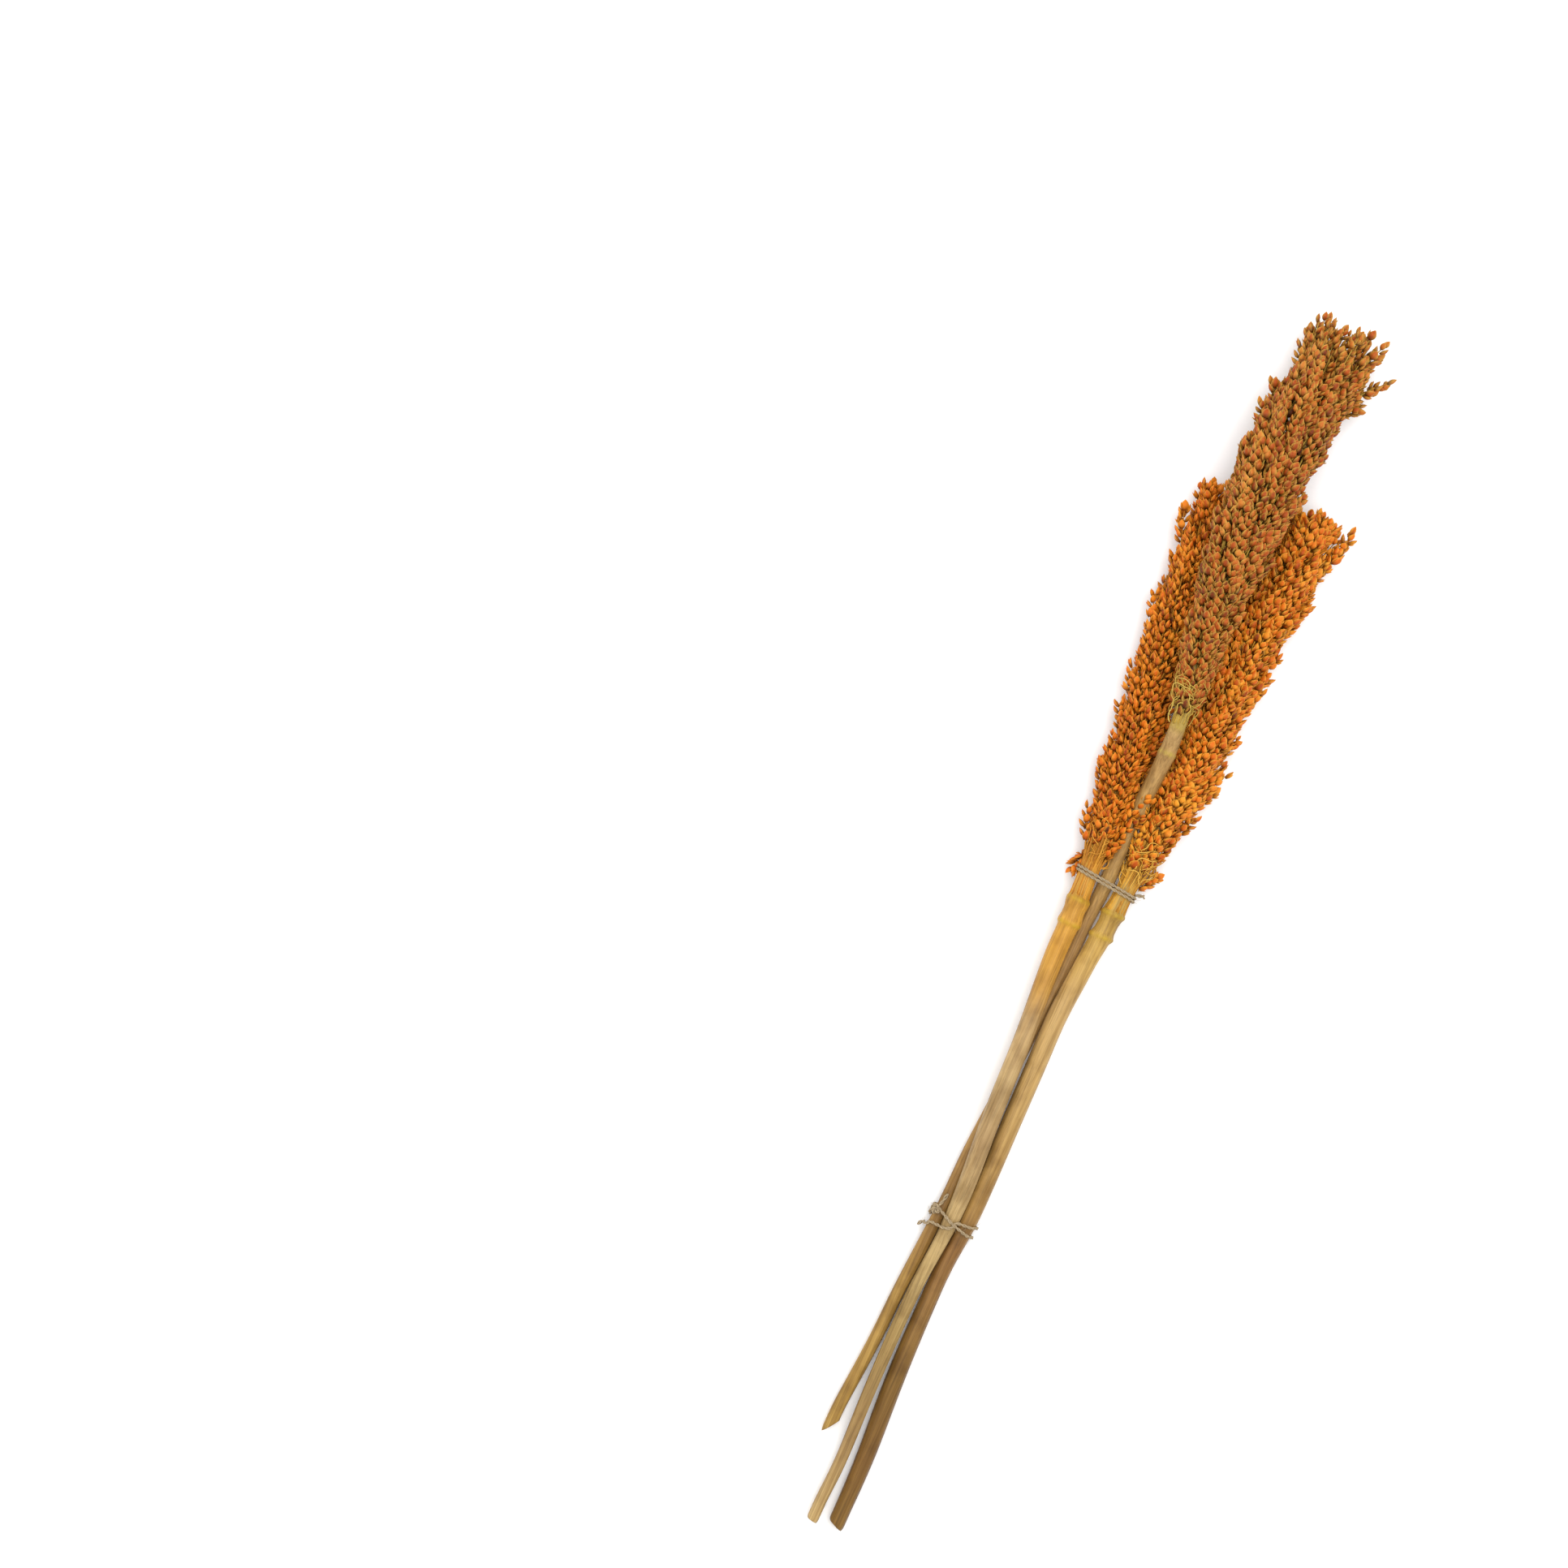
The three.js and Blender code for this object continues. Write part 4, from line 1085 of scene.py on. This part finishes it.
def upper_tie():
    """Two turns side by side with both ends at the right, one standing out and coming apart."""
    rng = np.random.default_rng(21)
    pitch = 2 * TWINE_RADIUS + 0.15 * MM
    turns = np.arange(97) / 48
    points = [wrap_point(upper_y + 0.5 * MM + pitch * (t - 1), 2 * math.pi * t - 0.3) for t in turns]
    centre = (max(p[0] for p in points) + min(p[0] for p in points)) / 2
    points = [p + np.array([0, TIE_LEAN * (p[0] - centre), 0]) for p in points]
    end = points[-1]
    points += [end + np.array([1.6, 0.6, -1.2]) * MM, end + np.array([4.6, 1.2, -1.8]) * MM]
    line = evenly(points, CORD_STEP, 2)
    points, faces, values, flat = joined(strands_of(line, rng, (0, 1.6)))
    make_piece("upper_twine", points, faces, values, flat, twine, ["upper_tie"])
    print(f"upper tie: {len(line) * CORD_STEP:.2f} m of twine, {len(faces)} faces")


upper_tie()

# %% Wind the lower tie
# The two turns lie this far from the tie's middle at either side, and dip a little where they cross.
LEFT_SPREAD, RIGHT_SPREAD, CROSS_SAG = 5.2 * MM, 2.6 * MM, 0.8 * MM
# The crossing lies to the right of the middle, and the upper turn is lifted over this length.
CROSS_BEND = 1.35
CROSS_SHARE, CROSS_LENGTH = 0.62, 3.2 * MM
KNOT_SIZE = 1.3 * MM


def crossing_turns(y0):
    """The points of two turns that cross on top, the second lifted over the first."""
    left, right = wrap_point(y0, math.pi)[0], wrap_point(y0, 0)[0]
    top = left + CROSS_SHARE * (right - left)
    points = []
    for step in range(97):
        angle = math.pi - 2 * math.pi * step / 48
        turn, over = step // 48, step % 48 < 24
        share = np.clip((wrap_point(y0, angle)[0] - left - MM) / (right - left - 2 * MM), 0, 1)
        share = 2 * share ** CROSS_BEND - 1
        spread = (LEFT_SPREAD + RIGHT_SPREAD) / 2 - share * (LEFT_SPREAD - RIGHT_SPREAD) / 2
        aside, lift = spread, 0.0
        if over:
            aside = spread * (share if turn == 0 else -share) - CROSS_SAG * (1 - share * share)
            if turn == 1:
                away = (wrap_point(y0, angle)[0] - top) / CROSS_LENGTH
                lift = 2.1 * TWINE_RADIUS * math.exp(-away * away)
        elif turn == 1:
            aside = -RIGHT_SPREAD * (0.5 + 0.5 * share)
        points.append(wrap_point(y0 + aside, angle, lift))
    return points


def on_stem(y, angle, lift):
    """The middle of a cord that lies on the middle stem."""
    x, z, r = (float(v) for v in stem_at("middle", y))
    reach = r + TWINE_GAP + TWINE_RADIUS + lift
    return np.array([x + reach * math.cos(angle), y, z + reach * math.sin(angle)])


def lower_tie():
    """Two turns that cross on top, a knot over the middle stem and two short ends."""
    rng = np.random.default_rng(22)
    y0 = lower_y - 2.5 * MM
    knot_y = y0 + 3.6 * MM
    knot = on_stem(knot_y, 2.1, KNOT_SIZE)
    loose_end = [on_stem(y0 - 7.5 * MM, math.pi + 0.2, 2.4 * MM),
                 on_stem(y0 - 4.5 * MM, math.pi + 0.1, 0.5 * MM)]
    points = loose_end + crossing_turns(y0) + [knot]
    parts = strands_of(evenly(points, CORD_STEP, 2), rng, (1.2, 0))
    t = np.linspace(0, 2 * math.pi, 60)
    loop = KNOT_SIZE * np.stack([(2 + np.cos(3 * t)) * np.cos(2 * t) / 2,
                                 1.15 * (2 + np.cos(3 * t)) * np.sin(2 * t) / 2,
                                 -0.45 * np.sin(3 * t)], axis=1)
    parts += strands_of(evenly(knot + loop, CORD_STEP, 1), rng)
    tail = [knot, on_stem(knot_y + 4 * MM, 1.9, 0.6 * MM), on_stem(knot_y + 9 * MM, 1.75, 0.3 * MM)]
    parts += strands_of(evenly(tail, CORD_STEP, 2), rng, (0, 1.4))
    points, faces, values, flat = joined(parts)
    make_piece("lower_twine", points, faces, values, flat, twine, ["lower_tie"])
    print(f"lower tie: {len(faces)} faces")


lower_tie()

# %% [markdown]
# ## Floor, light and camera
# The bundle lies on a plain white surface, lit from all round as in a light tent, with one large soft
# lamp above so that the husks keep their shape. The camera looks straight down from about a metre and a
# half. It is turned and set to the left, so that the bundle leans to the right and lies at the right.

# %% Lay the floor
FLOOR_HALF = 9.0


def lay_floor():
    """A wide, matt white surface under the bundle."""
    finish, _, shader = new_finish("white_surface", 0.9)
    shader.inputs["Base Color"].default_value = (0.93, 0.93, 0.93, 1)
    shader.inputs["Specular IOR Level"].default_value = 0.1
    mesh = bpy.data.meshes.new("floor")
    corners = [(FLOOR_HALF * a, FLOOR_HALF * b, 0) for a, b in ((-1, -1), (1, -1), (1, 1), (-1, 1))]
    mesh.from_pydata(corners, [], [(0, 1, 2, 3)])
    mesh.materials.append(finish)
    floor = bpy.data.objects.new("floor", mesh)
    bpy.context.scene.collection.objects.link(floor)


lay_floor()

# %% Set the lights
# Each lamp: name, place and size in metres, power in watts.
LAMPS = (
    ("top_lamp", (0.1, 0.3, 1.6), 1.2, 17.0),
    ("side_lamp", (-1.2, 0.6, 1.2), 0.9, 5.0),
)


def set_lights():
    """An even white surround and soft lamps that face the bundle."""
    world = bpy.data.worlds.new("light_tent")
    bpy.context.scene.world = world
    world.use_nodes = True
    tent = world.node_tree.nodes["Background"]
    tent.inputs["Color"].default_value = (1.0, 1.0, 1.0, 1)
    tent.inputs["Strength"].default_value = 1.0
    for name, place, size, power in LAMPS:
        lamp = bpy.data.lights.new(name, "AREA")
        lamp.energy = power
        lamp.size = size
        holder = bpy.data.objects.new(name, lamp)
        holder.location = place
        holder.rotation_euler = (-Vector(place)).to_track_quat("-Z", "Y").to_euler()
        bpy.context.scene.collection.objects.link(holder)


set_lights()

# %% Set the camera
# Where the camera looks, how far off it is, how much it sees there and how far it is turned.
VIEW_MIDDLE = Vector((-164.0, 5.7, 20.1)) * MM
VIEW_DISTANCE, VIEW_WIDTH, VIEW_TURN = 1.55, 0.7728, math.radians(24)


def set_camera():
    """A camera straight above, turned about its own axis."""
    camera = bpy.data.cameras.new("camera")
    camera.sensor_width = 36.0
    camera.lens = camera.sensor_width * VIEW_DISTANCE / VIEW_WIDTH
    camera.clip_end = 20.0
    holder = bpy.data.objects.new("camera", camera)
    up = Vector((-math.sin(VIEW_TURN), math.cos(VIEW_TURN), 0))
    back = Vector((0, 0, 1))
    turn = Matrix((up.cross(back), up, back)).transposed().to_4x4()
    holder.matrix_world = Matrix.Translation(VIEW_MIDDLE + back * VIEW_DISTANCE) @ turn
    bpy.context.scene.collection.objects.link(holder)
    bpy.context.scene.camera = holder


set_camera()
bpy.context.scene.view_settings.view_transform = "Standard"

# %% Bring the scene up to date
bpy.context.view_layer.update()
